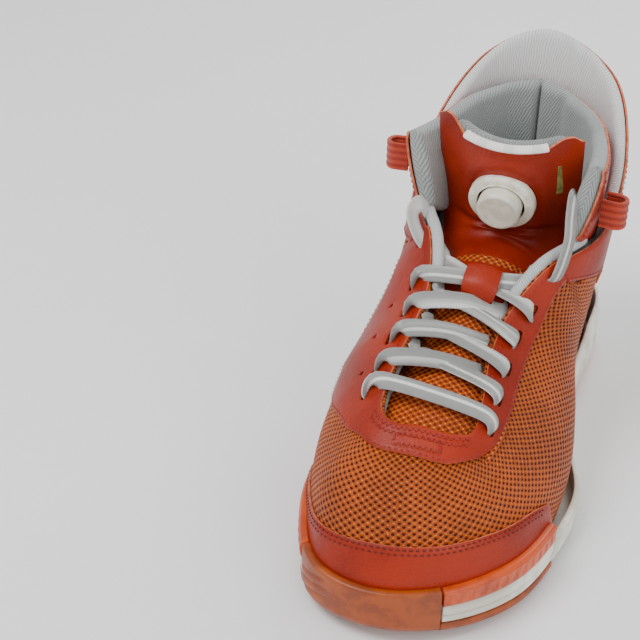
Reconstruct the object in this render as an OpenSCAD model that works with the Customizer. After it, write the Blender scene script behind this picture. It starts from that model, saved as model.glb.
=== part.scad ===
/* [Sole] */
// Thickness of the rubber under the foot
outsole_thickness = 5; // [4:0.5:6]
// Thickness of the foam between the rubber and the board
foam_thickness = 5.6; // [4:0.2:7]
// Height of the rubber wall round the toe
toe_wall_height = 29; // [27:1:31]
// Gap between the sole wall and the foot line of the upper
wall_gap = 2.8; // [2.7:0.1:3.4]
// Rise of the sole under the tip of the toe
toe_spring = 7; // [5:1:9]
// Number of ribs round the heel foam
heel_ribs = 3; // [2:1:4]
// Depth of the grooves between the heel ribs
rib_groove = 1.6; // [0.8:0.2:2]
// Thickness of the insole
insole_thickness = 4.5; // [3:0.5:6]

/* [Upper] */
// Thickness of the open mesh
mesh_thickness = 1.2; // [0.8:0.1:1.4]
// Thickness of the hidden stiffeners at the toe and the heel
stiffener_thickness = 0.8; // [0.6:0.1:1]
// Thickness of the padded bootie lining
lining_thickness = 2.6; // [2:0.2:3]
// Thickness of one layer of leather
leather_thickness = 1.3; // [1:0.1:1.4]
// Free space between two layers
layer_gap = 0.35; // [0.3:0.05:0.4]
// Thickness of the padding inside the heel flap
flap_pad = 4.4; // [3:0.2:5]
// Thickness of the padded ankle collar
collar_pad = 6; // [5:0.5:6.5]

/* [Tongue] */
// Thickness of the foam in the tongue
tongue_foam = 5; // [4:0.5:5.5]
// Thickness of the flat air bladder
bladder_thickness = 1.6; // [1:0.2:2]
// Long axis of the oval base of the pump
pump_base_length = 32; // [32:1:36]
// Short axis of the oval base of the pump
pump_base_width = 30; // [30:1:32]
// Thickness of the base of the pump
pump_base_thickness = 2.4; // [2:0.2:3]
// Radius of the push ball
pump_ball_radius = 10.5; // [9.5:0.5:11]
// Height of the push ball above its base
pump_ball_height = 6; // [5:0.5:8]
// Travel of the push ball
pump_travel = 5; // [4:0.5:5]

/* [Lace] */
// Width of the flat lace
lace_width = 6.5; // [6:0.5:7.5]
// Thickness of the flat lace
lace_thickness = 2.4; // [2:0.2:2.8]

/* [Hidden] */

// Shift that puts the middle of the shoe over the origin
middle = [-0.7, -4.6, 0];

// Stations round the shoe, from the toe over the lateral side to the heel and back:
// foot line, top line, [rise and lean at the foot line, reach and fall at the top line], [wall thickness]
stations = [
    [[-3, -134, 17.6], [-1, -82, 75], [34, 3, 28, 13], [3.8]],
    [[24, -122, 16], [12, -81, 74], [32, 4, 28, 15], [3.8]],
    [[45, -97, 13], [19, -74, 73], [30, 6, 24, 18], [3.8]],
    [[54, -66, 11.5], [18, -56, 79], [36, 8, 22, 19], [4]],
    [[55, -34, 11.5], [15, -36, 87], [40, 12, 26, 20], [6.5]],
    [[49, -4, 11.5], [17, -14, 97], [46, 13, 26, 22], [3.4]],
    [[40, 26, 11.5], [29, 4, 114], [48, 12, 17, 26], [3.2]],
    [[35.5, 56, 11.5], [48, 38, 121], [46, 8, 2, 32], [4.2]],
    [[36, 90, 11.5], [49, 74, 145], [46, 4, -8, 36], [4.2]],
    [[32, 123, 11.5], [33, 112, 167], [52, 2, -10, 42], [4.6]],
    [[-1, 140, 11.5], [-2, 127, 180], [58, 1, -14, 48], [5]],
    [[-31, 125, 11.5], [-31, 114, 171], [52, 2, -10, 42], [5]],
    [[-34, 92, 11.5], [-45, 76, 150], [46, 3, -6, 36], [5]],
    [[-32, 58, 11.5], [-45, 42, 124], [46, 18, 8, 32], [5]],
    [[-31, 28, 11.5], [-27, 8, 116], [48, 34, 26, 26], [5]],
    [[-36, -6, 11.5], [-20, -16, 103], [44, 36, 31, 22], [5]],
    [[-44, -38, 11.5], [-20, -38, 94], [38, 28, 33, 20], [5]],
    [[-49, -70, 11.5], [-22, -58, 84], [34, 15, 28, 19], [3.8]],
    [[-44, -98, 13], [-21, -76, 77], [30, 8, 25, 18], [3.8]],
    [[-29, -127, 16], [-14, -83, 75], [32, 4, 28, 15], [3.8]]
];
station_count = len(stations);

// Ankle collar from the lateral front edge round the back to the medial front edge: low edge, top edge
collar_stations = [
    [[39, 20, 122], [47, 22, 160]],
    [[41, 42, 112], [43, 50, 160]],
    [[31, 82, 104], [30, 84, 160]],
    [[-1, 109, 100], [-2, 112, 161]],
    [[-28, 82, 104], [-30, 86, 160]],
    [[-36, 46, 112], [-41, 52, 158]],
    [[-39, 26, 122], [-48, 27, 160]]
];
collar_bulge = 1.5;

// Tongue from the throat to its top: [y, z of the middle line, half width, drop of the sides]
tongue_stations = [
    [-82, 60, 20, 8],
    [-60, 74, 22, 14],
    [-32, 88, 21, 20],
    [-6, 100, 20, 14],
    [13, 108, 24, 11],
    [30, 110.5, 28, 11],
    [32.2, 119, 30, 12],
    [28.2, 135, 30.5, 13],
    [24.8, 148.5, 30.5, 13],
    [21.5, 161, 30.5, 13]
];
tongue_flex = 4;
fold_gap = 0.12;
tongue_top = 9;

// Interpolation and grids
function spline(a, b, c, d, u) =
    0.5 * (2 * b + (c - a) * u + (2 * a - 5 * b + 4 * c - d) * u * u + (3 * b - a - 3 * c + d) * u * u * u);
function wrap(i) = (i % station_count + station_count) % station_count;
function round_at(t, k) =
    let (i = floor(t), u = t - i)
    spline(stations[wrap(i - 1)][k], stations[wrap(i)][k], stations[wrap(i + 1)][k],
           stations[wrap(i + 2)][k], u);
function clamp(i, n) = max(0, min(n - 1, i));
function open_at(list, t) =
    let (n = len(list), i = min(n - 2, max(0, floor(t))), u = t - i)
    spline(list[clamp(i - 1, n)], list[i], list[i + 1], list[clamp(i + 2, n)], u);
function steps(from, to, count) = [for (i = [0 : count]) from + (to - from) * i / count];
function unit(v) = v / norm(v);
function mix(a, b, u) = a + (b - a) * u;

// Outward direction of the foot line, level with the ground
function outward(t) =
    let (d = round_at(t + 0.05, 0) - round_at(t - 0.05, 0))
    unit([d[1], -d[0], 0]);

// Point on the outside of the mesh: t runs round the shoe, u from the foot line to the top line
function shell(t, u) =
    let (foot = round_at(t, 0), top = round_at(t, 1), bend = round_at(t, 2), n = outward(t),
         low = foot + n * bend[1] + [0, 0, bend[0]],
         high = top + n * bend[2] - [0, 0, bend[3]], w = 1 - u)
    foot * w * w * w + low * 3 * w * w * u + high * 3 * w * u * u + top * u * u * u;
function shell_off(t, u, off) =
    let (e = 0.02, a = shell(t + e, u) - shell(t - e, u), b = shell(t, u + e) - shell(t, u - e))
    shell(t, u) + unit(cross(a, b)) * off;

// Point on the outside of the ankle collar
collar_low = [for (c = collar_stations) c[0]];
collar_high = [for (c = collar_stations) c[1]];
function collar(s, u) =
    let (low = open_at(collar_low, s), d = open_at(collar_low, s + 0.05) - open_at(collar_low, s - 0.05))
    mix(low, open_at(collar_high, s), u) + unit([d[1], -d[0], 0]) * collar_bulge * 4 * u * (1 - u);
function collar_off(s, u, off) =
    let (e = 0.05, a = collar(s + e, u) - collar(s - e, u), b = collar(s, u + e) - collar(s, u - e))
    collar(s, u) + unit(cross(a, b)) * off;

// Point on the front of the tongue: a runs up the tongue, v from -1 (medial) to 1 (lateral)
function tongue_line(a) = open_at(tongue_stations, a);
function tongue(a, v) =
    let (p = tongue_line(a), d = tongue_line(a + 0.05) - tongue_line(a - 0.05))
    [v * p[2], p[0], p[1]] + unit([0, d[1], -d[0]]) * p[3] * v * v;
function tongue_off(a, v, off) =
    let (e = 0.02, p = tongue(a + e, v) - tongue(a - e, v), q = tongue(a, v + e) - tongue(a, v - e))
    tongue(a, v) + unit(cross(q, p)) * off;

// Closed solid between an outer and an inner grid of points; ring joins the last row to the first
module sheet(outer, inner, ring = false) {
    rows = len(outer);
    cols = len(outer[0]);
    last = ring ? rows - 1 : rows - 2;
    function o(i, j) = (i % rows) * cols + j;
    function n(i, j) = rows * cols + (i % rows) * cols + j;
    quads = concat(
        [for (i = [0 : last]) for (j = [0 : cols - 2]) [o(i, j), o(i, j + 1), o(i + 1, j + 1), o(i + 1, j)]],
        [for (i = [0 : last]) for (j = [0 : cols - 2]) [n(i, j), n(i + 1, j), n(i + 1, j + 1), n(i, j + 1)]],
        [for (i = [0 : last]) [o(i, cols - 1), n(i, cols - 1), n(i + 1, cols - 1), o(i + 1, cols - 1)]],
        [for (i = [0 : last]) [o(i, 0), o(i + 1, 0), n(i + 1, 0), n(i, 0)]],
        ring ? [] : [for (j = [0 : cols - 2]) [o(0, j + 1), o(0, j), n(0, j), n(0, j + 1)]],
        ring ? [] : [for (j = [0 : cols - 2])
                     [o(rows - 1, j), o(rows - 1, j + 1), n(rows - 1, j + 1), n(rows - 1, j)]]
    );
    triangles = [for (q = quads) for (k = [0, 1]) [q[0], q[k + 1], q[k + 2]]];
    translate(middle)
        polyhedron(points = [for (grid = [outer, inner]) for (row = grid) for (p = row) p],
                   faces = triangles);
}

// Layer of the upper between two heights, which may change along the shoe
function shell_grid(ts, low, high, rows, off) =
    [for (i = [0 : len(ts) - 1])
        [for (k = [0 : rows]) shell_off(ts[i], mix(low[i], high[i], k / rows), off)]];
module shell_layer(ts, low, high, rows, inside, outside, ring = false) {
    sheet(shell_grid(ts, low, high, rows, outside), shell_grid(ts, low, high, rows, inside), ring);
}
function flat(ts, value) = [for (t = ts) value];

// Layer of the collar
module collar_layer(from, to, count, low, high, inside, outside) {
    sheet([for (s = steps(from, to, count)) [for (u = steps(low, high, 4)) collar_off(s, u, outside)]],
          [for (s = steps(from, to, count)) [for (u = steps(low, high, 4)) collar_off(s, u, inside)]]);
}

// Layer of the tongue
module tongue_layer(from, to, count, left, right, inside, outside) {
    sheet([for (a = steps(from, to, count)) [for (v = steps(right, left, 8)) tongue_off(a, v, outside)]],
          [for (a = steps(from, to, count)) [for (v = steps(right, left, 8)) tongue_off(a, v, inside)]]);
}

// Tube along a list of points, its width kept square to lean without flipping over
function ahead(points, i) = let (n = len(points)) unit(points[clamp(i + 1, n)] - points[clamp(i - 1, n)]);
function same_way(a, b) = a * b < 0 ? -a : a;
function widths(points, lean, i, before) =
    i == len(points) ? []
    : let (side = same_way(unit(cross(ahead(points, i), lean)), before))
      concat([side], widths(points, lean, i + 1, side));
module tube(points, width, thickness, sides, lean) {
    n = len(points);
    across = widths(points, lean, 0, cross(ahead(points, 0), lean));
    function at(i, k) = i * sides + k % sides;
    translate(middle)
        polyhedron(
            points = [for (i = [0 : n - 1]) let (a = across[i], b = cross(a, ahead(points, i)))
                      for (k = [0 : sides - 1])
                          let (turn = 360 * k / sides)
                          points[i] + a * cos(turn) * width / 2 + b * sin(turn) * thickness / 2],
            faces = concat(
                [for (i = [0 : n - 2]) for (k = [0 : sides - 1]) [at(i, k), at(i, k + 1), at(i + 1, k + 1)]],
                [for (i = [0 : n - 2]) for (k = [0 : sides - 1]) [at(i, k), at(i + 1, k + 1), at(i + 1, k)]],
                [[for (k = [0 : sides - 1]) sides - 1 - k]],
                [[for (k = [0 : sides - 1]) at(n - 1, k)]]));
}

// Sole outlines and levels
sole_ts = steps(0, station_count - 0.25, 4 * station_count - 1);
function sole_point(t, out) = let (p = round_at(t, 0) + outward(t) * out) [p[0], p[1]];
function wall_out(t) = wall_gap + round_at(t, 3)[0];
module sole_outline(inset) {
    polygon([for (t = sole_ts) sole_point(t, wall_out(t) - inset)]);
}
module foot_outline(out) {
    polygon([for (t = sole_ts) sole_point(t, out)]);
}
spring_start = -72;
spring_radius = 68 * 68 / 2 / toe_spring;
board_level = outsole_thickness + foam_thickness;
far = 400;

// Everything above the ground curve, raised by a height
module above(level) {
    rotate([90, 0, 90])
        translate([0, 0, -far / 2])
            linear_extrude(far) {
                translate([spring_start, level]) square([far, far]);
                intersection() {
                    translate([spring_start, spring_radius]) circle(spring_radius - level, $fn = 180);
                    translate([spring_start - far, 0]) square([far + 0.01, spring_radius]);
                }
            }
}

// Everything under a line of [y, z] points
module below(line) {
    rotate([90, 0, 90])
        translate([0, 0, -far / 2])
            linear_extrude(far)
                polygon(concat(line, [[far, -20], [-far, -20]]));
}

// Everything in front of the slanting joint between the forefoot and the heel part
joint_lateral = -68;
joint_medial = -36;
module front_part(gap) {
    linear_extrude(far)
        polygon([[-far, -far], [far, -far],
                 [80, joint_lateral - gap], [30, joint_lateral - gap],
                 [-20, joint_medial - gap], [-80, joint_medial - gap]]);
}

// Wedge of the sole wall between two stations
module wall_sector(from, to, low, high) {
    translate([0, 0, low])
        linear_extrude(high - low)
            polygon(concat([for (t = steps(from, to, 12)) sole_point(t, 20)],
                           [for (t = steps(to, from, 12)) sole_point(t, -5)]));
}

lateral_window = [0.9, 2.9];
medial_window = [17.15, 18.7];
window_floor = 6.5;
cushion_top = 18;
joint_gap = 0.3;

// Space kept free inside the sole wall where the upper swells out
room_height = 0.4;
room_depth = 6;
module upper_room(extra = 0) {
    shell_layer(sole_ts, flat(sole_ts, 0), flat(sole_ts, room_height), 4,
                -room_depth, joint_gap + extra, true);
}

// Rounding of the lower edge of the forefoot rubber: [height, inset]
edge_steps = [[0, 4.5], [1.5, 3], [4, 1.6], [8, 0.6], [13, 0]];
module forefoot_cup() {
    translate(middle)
            difference() {
                intersection() {
                    for (step = edge_steps)
                        translate([0, 0, step[0]])
                            linear_extrude(toe_wall_height - step[0]) sole_outline(step[1]);
                    above(0);
                    front_part(joint_gap);
                }
                intersection() {
                    linear_extrude(far) foot_outline(wall_gap);
                    above(outsole_thickness);
                }
                wall_sector(lateral_window[0], lateral_window[1] + 0.2, window_floor, far);
                wall_sector(medial_window[0] - 0.2, medial_window[1], window_floor, far);
            }
}
module forefoot_outsole() {
    color("chocolate")
        difference() {
            forefoot_cup();
            upper_room();
        }
}

heel_outsole_start = 64;
module heel_outsole() {
    color("orangered")
        translate(middle)
            intersection() {
                linear_extrude(outsole_thickness) sole_outline(1.5);
                translate([-far / 2, heel_outsole_start, 0]) cube([far, far, far]);
            }
}

module midfoot_shank() {
    color("dimgray")
        translate(middle)
            translate([0, 0, 2.4])
                linear_extrude(outsole_thickness - 2.4)
                    intersection() {
                        foot_outline(-14);
                        translate([-far / 2, -28]) square([far, heel_outsole_start - 2 + 28]);
                    }
}

module forefoot_foam() {
    color("ivory")
        translate(middle)
            intersection() {
                linear_extrude(far) foot_outline(wall_gap - joint_gap);
                difference() {
                    above(outsole_thickness + joint_gap);
                    above(board_level);
                }
                front_part(joint_gap);
            }
}

// Top edge of the heel foam seen from the side
heel_top = [[-70, 17], [-30, 19], [10, 20], [50, 20], [90, 30], [130, 38], [170, 39]];
heel_layer = 9.5;
module heel_foam() {
    translate(middle)
            difference() {
                intersection() {
                    union() {
                        translate([0, 0, outsole_thickness + joint_gap])
                            linear_extrude(far) sole_outline(rib_groove);
                        for (k = [0 : heel_ribs - 1])
                            translate([0, 0, outsole_thickness + 0.8 + heel_layer * k])
                                linear_extrude(heel_layer - 1.2) sole_outline(0);
                    }
                    below(heel_top);
                }
                front_part(0);
                translate([0, 0, board_level]) linear_extrude(far) foot_outline(wall_gap);
            }
}
module heel_midsole() {
    color("ivory")
        difference() {
            heel_foam();
            upper_room();
        }
}

// Part of the sole wall that fills a window
module window_filler(from, to, low, high, inset, inside = wall_gap) {
    translate(middle)
        intersection() {
            difference() {
                linear_extrude(far) sole_outline(inset);
                linear_extrude(far) foot_outline(inside);
            }
            wall_sector(from, to, low, high);
            front_part(joint_gap);
        }
}

cushion_groove = 0.6;
module cushion(from, to) {
    middle_level = (window_floor + cushion_top) / 2;
    color("ivory") {
        window_filler(from, to, window_floor + joint_gap, middle_level, 0);
        window_filler(from, to, middle_level - 0.1, middle_level + cushion_groove + 0.1, cushion_groove);
        window_filler(from, to, middle_level + cushion_groove, cushion_top, 0);
    }
}
module lateral_cushion() {
    cushion(lateral_window[0] + 0.02, lateral_window[1]);
}
module medial_cushion() {
    cushion(medial_window[0], medial_window[1] - 0.02);
}
// How far the clips stand out from the sole wall, and where their inner face lies
clip_stand = 0.6;
clip_inside = wall_gap + 1.3;
module clip(from, to) {
    color("orange")
        difference() {
            window_filler(from, to, cushion_top + joint_gap, toe_wall_height, -clip_stand, clip_inside);
            upper_room(layer_gap + leather_thickness);
        }
}
module lateral_clip() {
    clip(lateral_window[0] + 0.02, lateral_window[1]);
}
module medial_clip() {
    clip(medial_window[0], medial_window[1] - 0.02);
}

bootie_depth = mesh_thickness + stiffener_thickness + lining_thickness + 2 * layer_gap;
board_thickness = 1.4;
module strobel_board() {
    color("wheat")
        translate(middle)
            intersection() {
                linear_extrude(far) foot_outline(-bootie_depth - 0.6);
                difference() {
                    above(board_level + joint_gap);
                    above(board_level + joint_gap + board_thickness);
                }
            }
}

module insole() {
    low = board_level + board_thickness + 2 * joint_gap;
    color("dimgray")
        translate(middle)
            intersection() {
                linear_extrude(far) foot_outline(-bootie_depth - 1.2);
                difference() {
                    above(low);
                    above(low + insole_thickness);
                }
            }
}

// Padded lining, sewn from three panels: one over the toes and one along each side
lining_seam = 3.5;
seam_gap = 0.01;
function lining_top(t) = t > 6.3 && t < 13.7 ? 0.62 : 0.97;
module lining(from, to, count) {
    ts = steps(from, to, count);
    color("silver")
        shell_layer(ts, flat(ts, 0), [for (t = ts) lining_top(t)], 8,
                    -bootie_depth, -bootie_depth + lining_thickness);
}
module vamp_lining() {
    lining(-lining_seam, lining_seam, 21);
}
module lateral_lining() {
    lining(lining_seam + seam_gap, station_count / 2 - seam_gap, 20);
}
module medial_lining() {
    lining(station_count / 2 + seam_gap, station_count - lining_seam - seam_gap, 20);
}

module toe_puff() {
    ts = steps(-2.2, 2, 14);
    color("tan")
        shell_layer(ts, flat(ts, 0.05), [for (t = ts) 0.12 + 0.3 * cos(35 * t)], 4,
                    -mesh_thickness - layer_gap - stiffener_thickness, -mesh_thickness - layer_gap);
}

module heel_counter() {
    ts = steps(8.2, 11.8, 14);
    color("tan")
        shell_layer(ts, flat(ts, 0.04), [for (t = ts) 0.3 + 0.15 * cos(40 * (t - 10))], 4,
                    -mesh_thickness - layer_gap - stiffener_thickness, -mesh_thickness - layer_gap);
}

// Upper edge of the mesh: the top line in front, lower under the ankle patches and under the heel flap
function mesh_top(t) = abs(t - station_count / 2) > 3.7 ? 1 : abs(t - station_count / 2) > 3 ? 0.8 : 0.66;
module mesh_upper() {
    ts = steps(0, station_count - 1 / 4, 4 * station_count - 1);
    color("darkorange")
        shell_layer(ts, flat(ts, 0), [for (t = ts) mesh_top(t)], 8, -mesh_thickness, 0, true);
}

// Upper edge of the toe cap
toe_cap_edge = [
    [-2.8, 0.23], [-2, 0.27], [-0.9, 0.33], [0.3, 0.35], [1, 0.39], [1.7, 0.43], [2.6, 0.33], [3.1, 0.23]
];
// Lower edge of the toe cap
toe_cap_foot = [[-2.8, 0.2], [-2, 0.18], [-1, 0.12], [1, 0.12], [2, 0.18], [3, 0.2]];
module toe_cap() {
    ts = steps(-2.8, 3, 26);
    color("orangered")
        shell_layer(ts, [for (t = ts) lookup(t, toe_cap_foot)], [for (t = ts) lookup(t, toe_cap_edge)], 4,
                    layer_gap, layer_gap + leather_thickness);
}

// Outer edge of the eyestay
eyestay_edge = [
    [-6.2, 0.76], [-5.5, 0.66], [-5.1, 0.55], [-4.4, 0.47], [-3.5, 0.48], [-3, 0.56], [-2.5, 0.7],
    [-1.4, 0.84], [0, 0.835], [0.6, 0.825],
    [1.2, 0.86], [2, 0.87], [2.6, 0.82], [3.2, 0.8], [4.2, 0.81], [5.3, 0.81], [6.2, 0.87]
];
// Eyelet slots as [t, u] on the upper, from the throat to the ankle
lateral_eyelets = [[2.5, 0.9], [3.25, 0.9], [4, 0.89], [4.7, 0.9], [5.3, 0.9], [6.05, 0.94]];
medial_eyelets = [[-2.6, 0.87], [-3.15, 0.89], [-3.85, 0.89], [-4.5, 0.91], [-5.2, 0.9], [-6.05, 0.93]];
slot_length = 8;
slot_width = 3.4;
module eyelet_slot(place) {
    low = shell_off(place[0], place[1], -1.5);
    high = shell_off(place[0], place[1], 4);
    way = high - low;
    along = shell(place[0] + 0.1, place[1]) - shell(place[0] - 0.1, place[1]);
    turn = atan2(along[1], along[0]);
    translate(middle + low)
        rotate([0, acos(way[2] / norm(way)), atan2(way[1], way[0])])
            rotate([0, 0, turn - atan2(way[1], way[0])])
                linear_extrude(norm(way))
                    union() {
                        square([slot_length - slot_width, slot_width], center = true);
                        for (end = [-1, 1])
                            translate([end * (slot_length - slot_width) / 2, 0])
                                circle(d = slot_width, $fn = 24);
                    }
}
module eyestay() {
    ts = steps(-6.2, 6.2, 52);
    color("orangered")
        difference() {
            shell_layer(ts, [for (t = ts) lookup(t, eyestay_edge)], flat(ts, 0.995), 3,
                        layer_gap, layer_gap + leather_thickness);
            for (place = concat(lateral_eyelets, medial_eyelets)) eyelet_slot(place);
        }
}

module vamp_tack_patch() {
    ts = steps(-0.55, 0.55, 6);
    under = 2 * layer_gap + leather_thickness;
    color("orangered")
        shell_layer(ts, flat(ts, 0.875), flat(ts, 0.93), 2, under, under + 0.8);
}

// Lower edges of the two ankle patches
lateral_ankle_edge = [[6.2, 0.88], [6.8, 0.78], [7.3, 0.68]];
medial_ankle_edge = [[12.7, 0.68], [13.2, 0.78], [13.8, 0.88]];
module ankle_patch(edge, from, to) {
    ts = steps(from, to, 5);
    color("orangered")
        shell_layer(ts, [for (t = ts) lookup(t, edge)], flat(ts, 0.97), 4,
                    layer_gap, layer_gap + leather_thickness);
}
module lateral_ankle_patch() {
    ankle_patch(lateral_ankle_edge, 6.25, 7.1);
}
module medial_ankle_patch() {
    ankle_patch(medial_ankle_edge, 12.9, 13.75);
}

module heel_panel() {
    ts = steps(8.6, 11.4, 12);
    color("peru")
        shell_layer(ts, flat(ts, 0.14), flat(ts, 0.6), 4, layer_gap, layer_gap + leather_thickness);
}

module heel_flap() {
    ts = steps(7.15, 12.85, 24);
    color("orangered")
        shell_layer(ts, flat(ts, 0.62), flat(ts, 1), 5, layer_gap, layer_gap + leather_thickness);
}

module flap_lining() {
    ts = steps(7.2, 12.8, 24);
    color("white")
        shell_layer(ts, flat(ts, 0.69), flat(ts, 0.995), 5, -flap_pad, 0);
}

module collar_padding() {
    color("lightgray") collar_layer(0, 6, 30, 0, 1, -collar_pad, 0);
}
module lateral_collar_wing() {
    color("orangered") collar_layer(0, 2.98, 14, 0.02, 0.97, layer_gap, layer_gap + leather_thickness);
}
module medial_collar_wing() {
    color("orangered") collar_layer(3.02, 6, 14, 0.02, 0.97, layer_gap, layer_gap + leather_thickness);
}

// Webbing loop that stands out from a wing, closed at its free end
loop_height = 15;
loop_reach = 11.5;
loop_opening = 5;
loop_strap = 2.4;
module loop(place, turn) {
    color("orangered")
        translate(middle + place)
            rotate([0, 0, turn])
                linear_extrude(loop_height)
                    difference() {
                        hull() {
                            translate([0, -loop_opening / 2 - loop_strap])
                                square([0.1, loop_opening + 2 * loop_strap]);
                            translate([loop_reach - loop_opening / 2 - loop_strap, 0])
                                circle(loop_opening / 2 + loop_strap, $fn = 32);
                        }
                        hull() {
                            translate([2, 0]) circle(loop_opening / 2, $fn = 32);
                            translate([loop_reach - loop_opening / 2 - loop_strap, 0])
                                circle(loop_opening / 2, $fn = 32);
                        }
                    }
}
module lateral_loop() {
    loop([47.2, 33, 126.5], -8);
}
module medial_loop() {
    loop([-49, 38, 134.5], 186);
}

// Soft roll along the top line between the eyestay and the ankle
module topline_roll(from, to) {
    color("lightgray")
        tube([for (t = steps(from, to, 12)) shell_off(t, 1, -4.3) + [0, 0, 1.5]], 5, 5, 8, [0, 0, 1]);
}
module lateral_topline_roll() {
    topline_roll(5.3, 6.55);
}
module medial_topline_roll() {
    topline_roll(14.7, 13.5);
}

// Pump: an oval base on the tongue with a round ball that is pushed in
pump_place = [0.4, 29, 131];
pump_turn = 104;
pump_seat = 1.2;
module on_pump() {
    translate(middle + pump_place) rotate([pump_turn, 0, 0]) children();
}
well_gap = 0.6;
ring_gap = 0.4;
well_depth = pump_travel + 0.8;

module tongue_base() {
    color("orange") tongue_layer(0, tongue_flex - fold_gap, 12, -1, 1, -tongue_foam, 0);
}
// Space that the push ball moves into
module pump_well() {
    on_pump() translate([0, 0, -well_depth]) cylinder(r = pump_ball_radius + well_gap, h = 30, $fn = 64);
}
module tongue_leather() {
    color("orangered")
        difference() {
            tongue_layer(tongue_flex, tongue_top, 15, -1, 1, -leather_thickness, 0);
            pump_well();
        }
}
bladder_front = -leather_thickness - layer_gap;
padding_front = bladder_front - bladder_thickness - layer_gap;
module tongue_bladder() {
    color("olive")
        difference() {
            tongue_layer(tongue_flex + 0.4, tongue_top - 0.6, 12, -0.85, 0.85,
                         bladder_front - bladder_thickness, bladder_front);
            pump_well();
        }
}
module tongue_padding() {
    color("lightgray")
        difference() {
            tongue_layer(tongue_flex, tongue_top - 0.1, 15, -0.97, 0.97,
                         padding_front - tongue_foam, padding_front);
            pump_well();
        }
}
module tongue_lining() {
    back = padding_front - tongue_foam - layer_gap;
    color("silver") tongue_layer(tongue_flex, tongue_top - 0.1, 15, -0.97, 0.97, back - 0.9, back);
}
module tongue_edge_strip() {
    color("white")
        tongue_layer(tongue_top - 0.42, tongue_top - 0.08, 3, -0.66, 0.66, layer_gap, layer_gap + 0.7);
}
module bladder_window() {
    color("olive") tongue_layer(6.9, 8.1, 4, 0.78, 0.88, layer_gap, layer_gap + 0.5);
}

// Strap on the tongue that the laces pass under, fixed at its top and its bottom
keeper_from = 2.7;
keeper_to = 3.65;
keeper_half = 0.27;
keeper_lift = 8.6;
function keeper_height(a) =
    layer_gap + keeper_lift * (1 - pow(abs(2 * (a - keeper_from) / (keeper_to - keeper_from) - 1), 4));
function keeper_grid(extra) =
    [for (a = steps(keeper_from, keeper_to, 10)) [for (v = steps(keeper_half, -keeper_half, 3))
        tongue_off(a, v, keeper_height(a) + extra)]];
module lace_keeper() {
    color("orangered") sheet(keeper_grid(leather_thickness), keeper_grid(0));
}

module pump_base() {
    color("ivory")
        on_pump()
            difference() {
                translate([0, 0, pump_seat])
                    linear_extrude(pump_base_thickness)
                        hull() {
                            for (side = [-1, 1])
                                translate([side * (pump_base_length - pump_base_width) / 2, 0])
                                    circle(d = pump_base_width, $fn = 64);
                        }
                translate([0, 0, -1]) cylinder(r = pump_ball_radius + ring_gap, h = 12, $fn = 64);
            }
}
module pump_ball() {
    color("antiquewhite")
        on_pump()
            cylinder(r = pump_ball_radius, h = pump_seat + pump_base_thickness + pump_ball_height, $fn = 64);
}

// Lace route: up from the medial tip, down through the slots to the throat, back up to the lateral tip
lace_route = [
    [-30, 33, 67], [-31, 33, 84], [-32, 31, 100], [-34, 27, 115], [-37, 20, 126], [-39, 13, 123],
    [-32, 8, 113], [-24, 11, 108], [-20, 9, 109], [-21, 3, 110],
    [1, -3, 104], [23, -11, 102], [27, -9, 96], [21, -3, 93], [16, -4, 95], [14, -11, 95],
    [-4, -18, 101], [-23, -26, 101], [-28, -24, 93], [-21, -22, 87], [-15, -26, 91], [-16, -30, 94],
    [1, -34, 91], [19, -39, 88], [24, -38, 82], [18, -36, 76], [12, -39, 78], [12, -42, 81],
    [-6, -48, 87], [-25, -55, 88], [-31, -54, 81], [-25, -53, 74], [-22, -58, 73], [-26, -65, 69],
    [-32, -67, 76], [-25, -67, 83],
    [-1, -67, 82], [22, -67, 78], [27, -68, 72], [22, -66, 65], [17, -58, 69],
    [20, -52, 70], [25, -53, 77], [21, -53, 83], [2, -48, 85], [-17, -44, 87], [-17, -40, 85],
    [-22, -38, 81], [-29, -39, 87], [-24, -41, 95], [-6, -34, 94], [11, -27, 87], [12, -22, 84],
    [18, -20, 82], [24, -22, 88], [19, -24, 94], [1, -18, 98], [-16, -14, 101], [-16, -8, 99],
    [-22, -6, 95], [-29, -9, 99], [-25, -11, 107], [-2, -6, 107], [22, 1, 106],
    [23, 7, 108], [27, 8, 107], [34, 4, 109], [37, 10, 124], [36, 15, 136],
    [35, 22, 142], [34, 30, 137], [33, 36, 122], [33, 38, 106], [32, 37, 90], [31, 36, 75]
];
lace_lean = [1, -0.3, 0.6];
lace_sides = 8;

module lace() {
    color("gainsboro") tube(lace_route, lace_width, lace_thickness, lace_sides, lace_lean);
}

// Hard tips on the two ends of the lace
tip_length = 18;
tip_diameter = 3;
tip_tops = [[-29, 32, 66], [31, 36, 74]];
module lace_tips() {
    color("white")
        for (top = tip_tops)
            translate(middle + top - [0, 0, tip_length]) cylinder(d = tip_diameter, h = tip_length, $fn = 24);
}

forefoot_outsole();
heel_outsole();
midfoot_shank();
forefoot_foam();
heel_midsole();
lateral_cushion();
medial_cushion();
lateral_clip();
medial_clip();
strobel_board();
insole();
vamp_lining();
lateral_lining();
medial_lining();
toe_puff();
heel_counter();
mesh_upper();
toe_cap();
eyestay();
vamp_tack_patch();
lateral_ankle_patch();
medial_ankle_patch();
heel_panel();
heel_flap();
flap_lining();
collar_padding();
lateral_collar_wing();
medial_collar_wing();
lateral_loop();
medial_loop();
lateral_topline_roll();
medial_topline_roll();
tongue_base();
lace_keeper();
tongue_leather();
tongue_bladder();
tongue_padding();
tongue_lining();
tongue_edge_strip();
bladder_window();
pump_base();
pump_ball();
lace();
lace_tips();
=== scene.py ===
import math

import bmesh
import bpy
import numpy as np
from mathutils import Matrix, Vector


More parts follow.
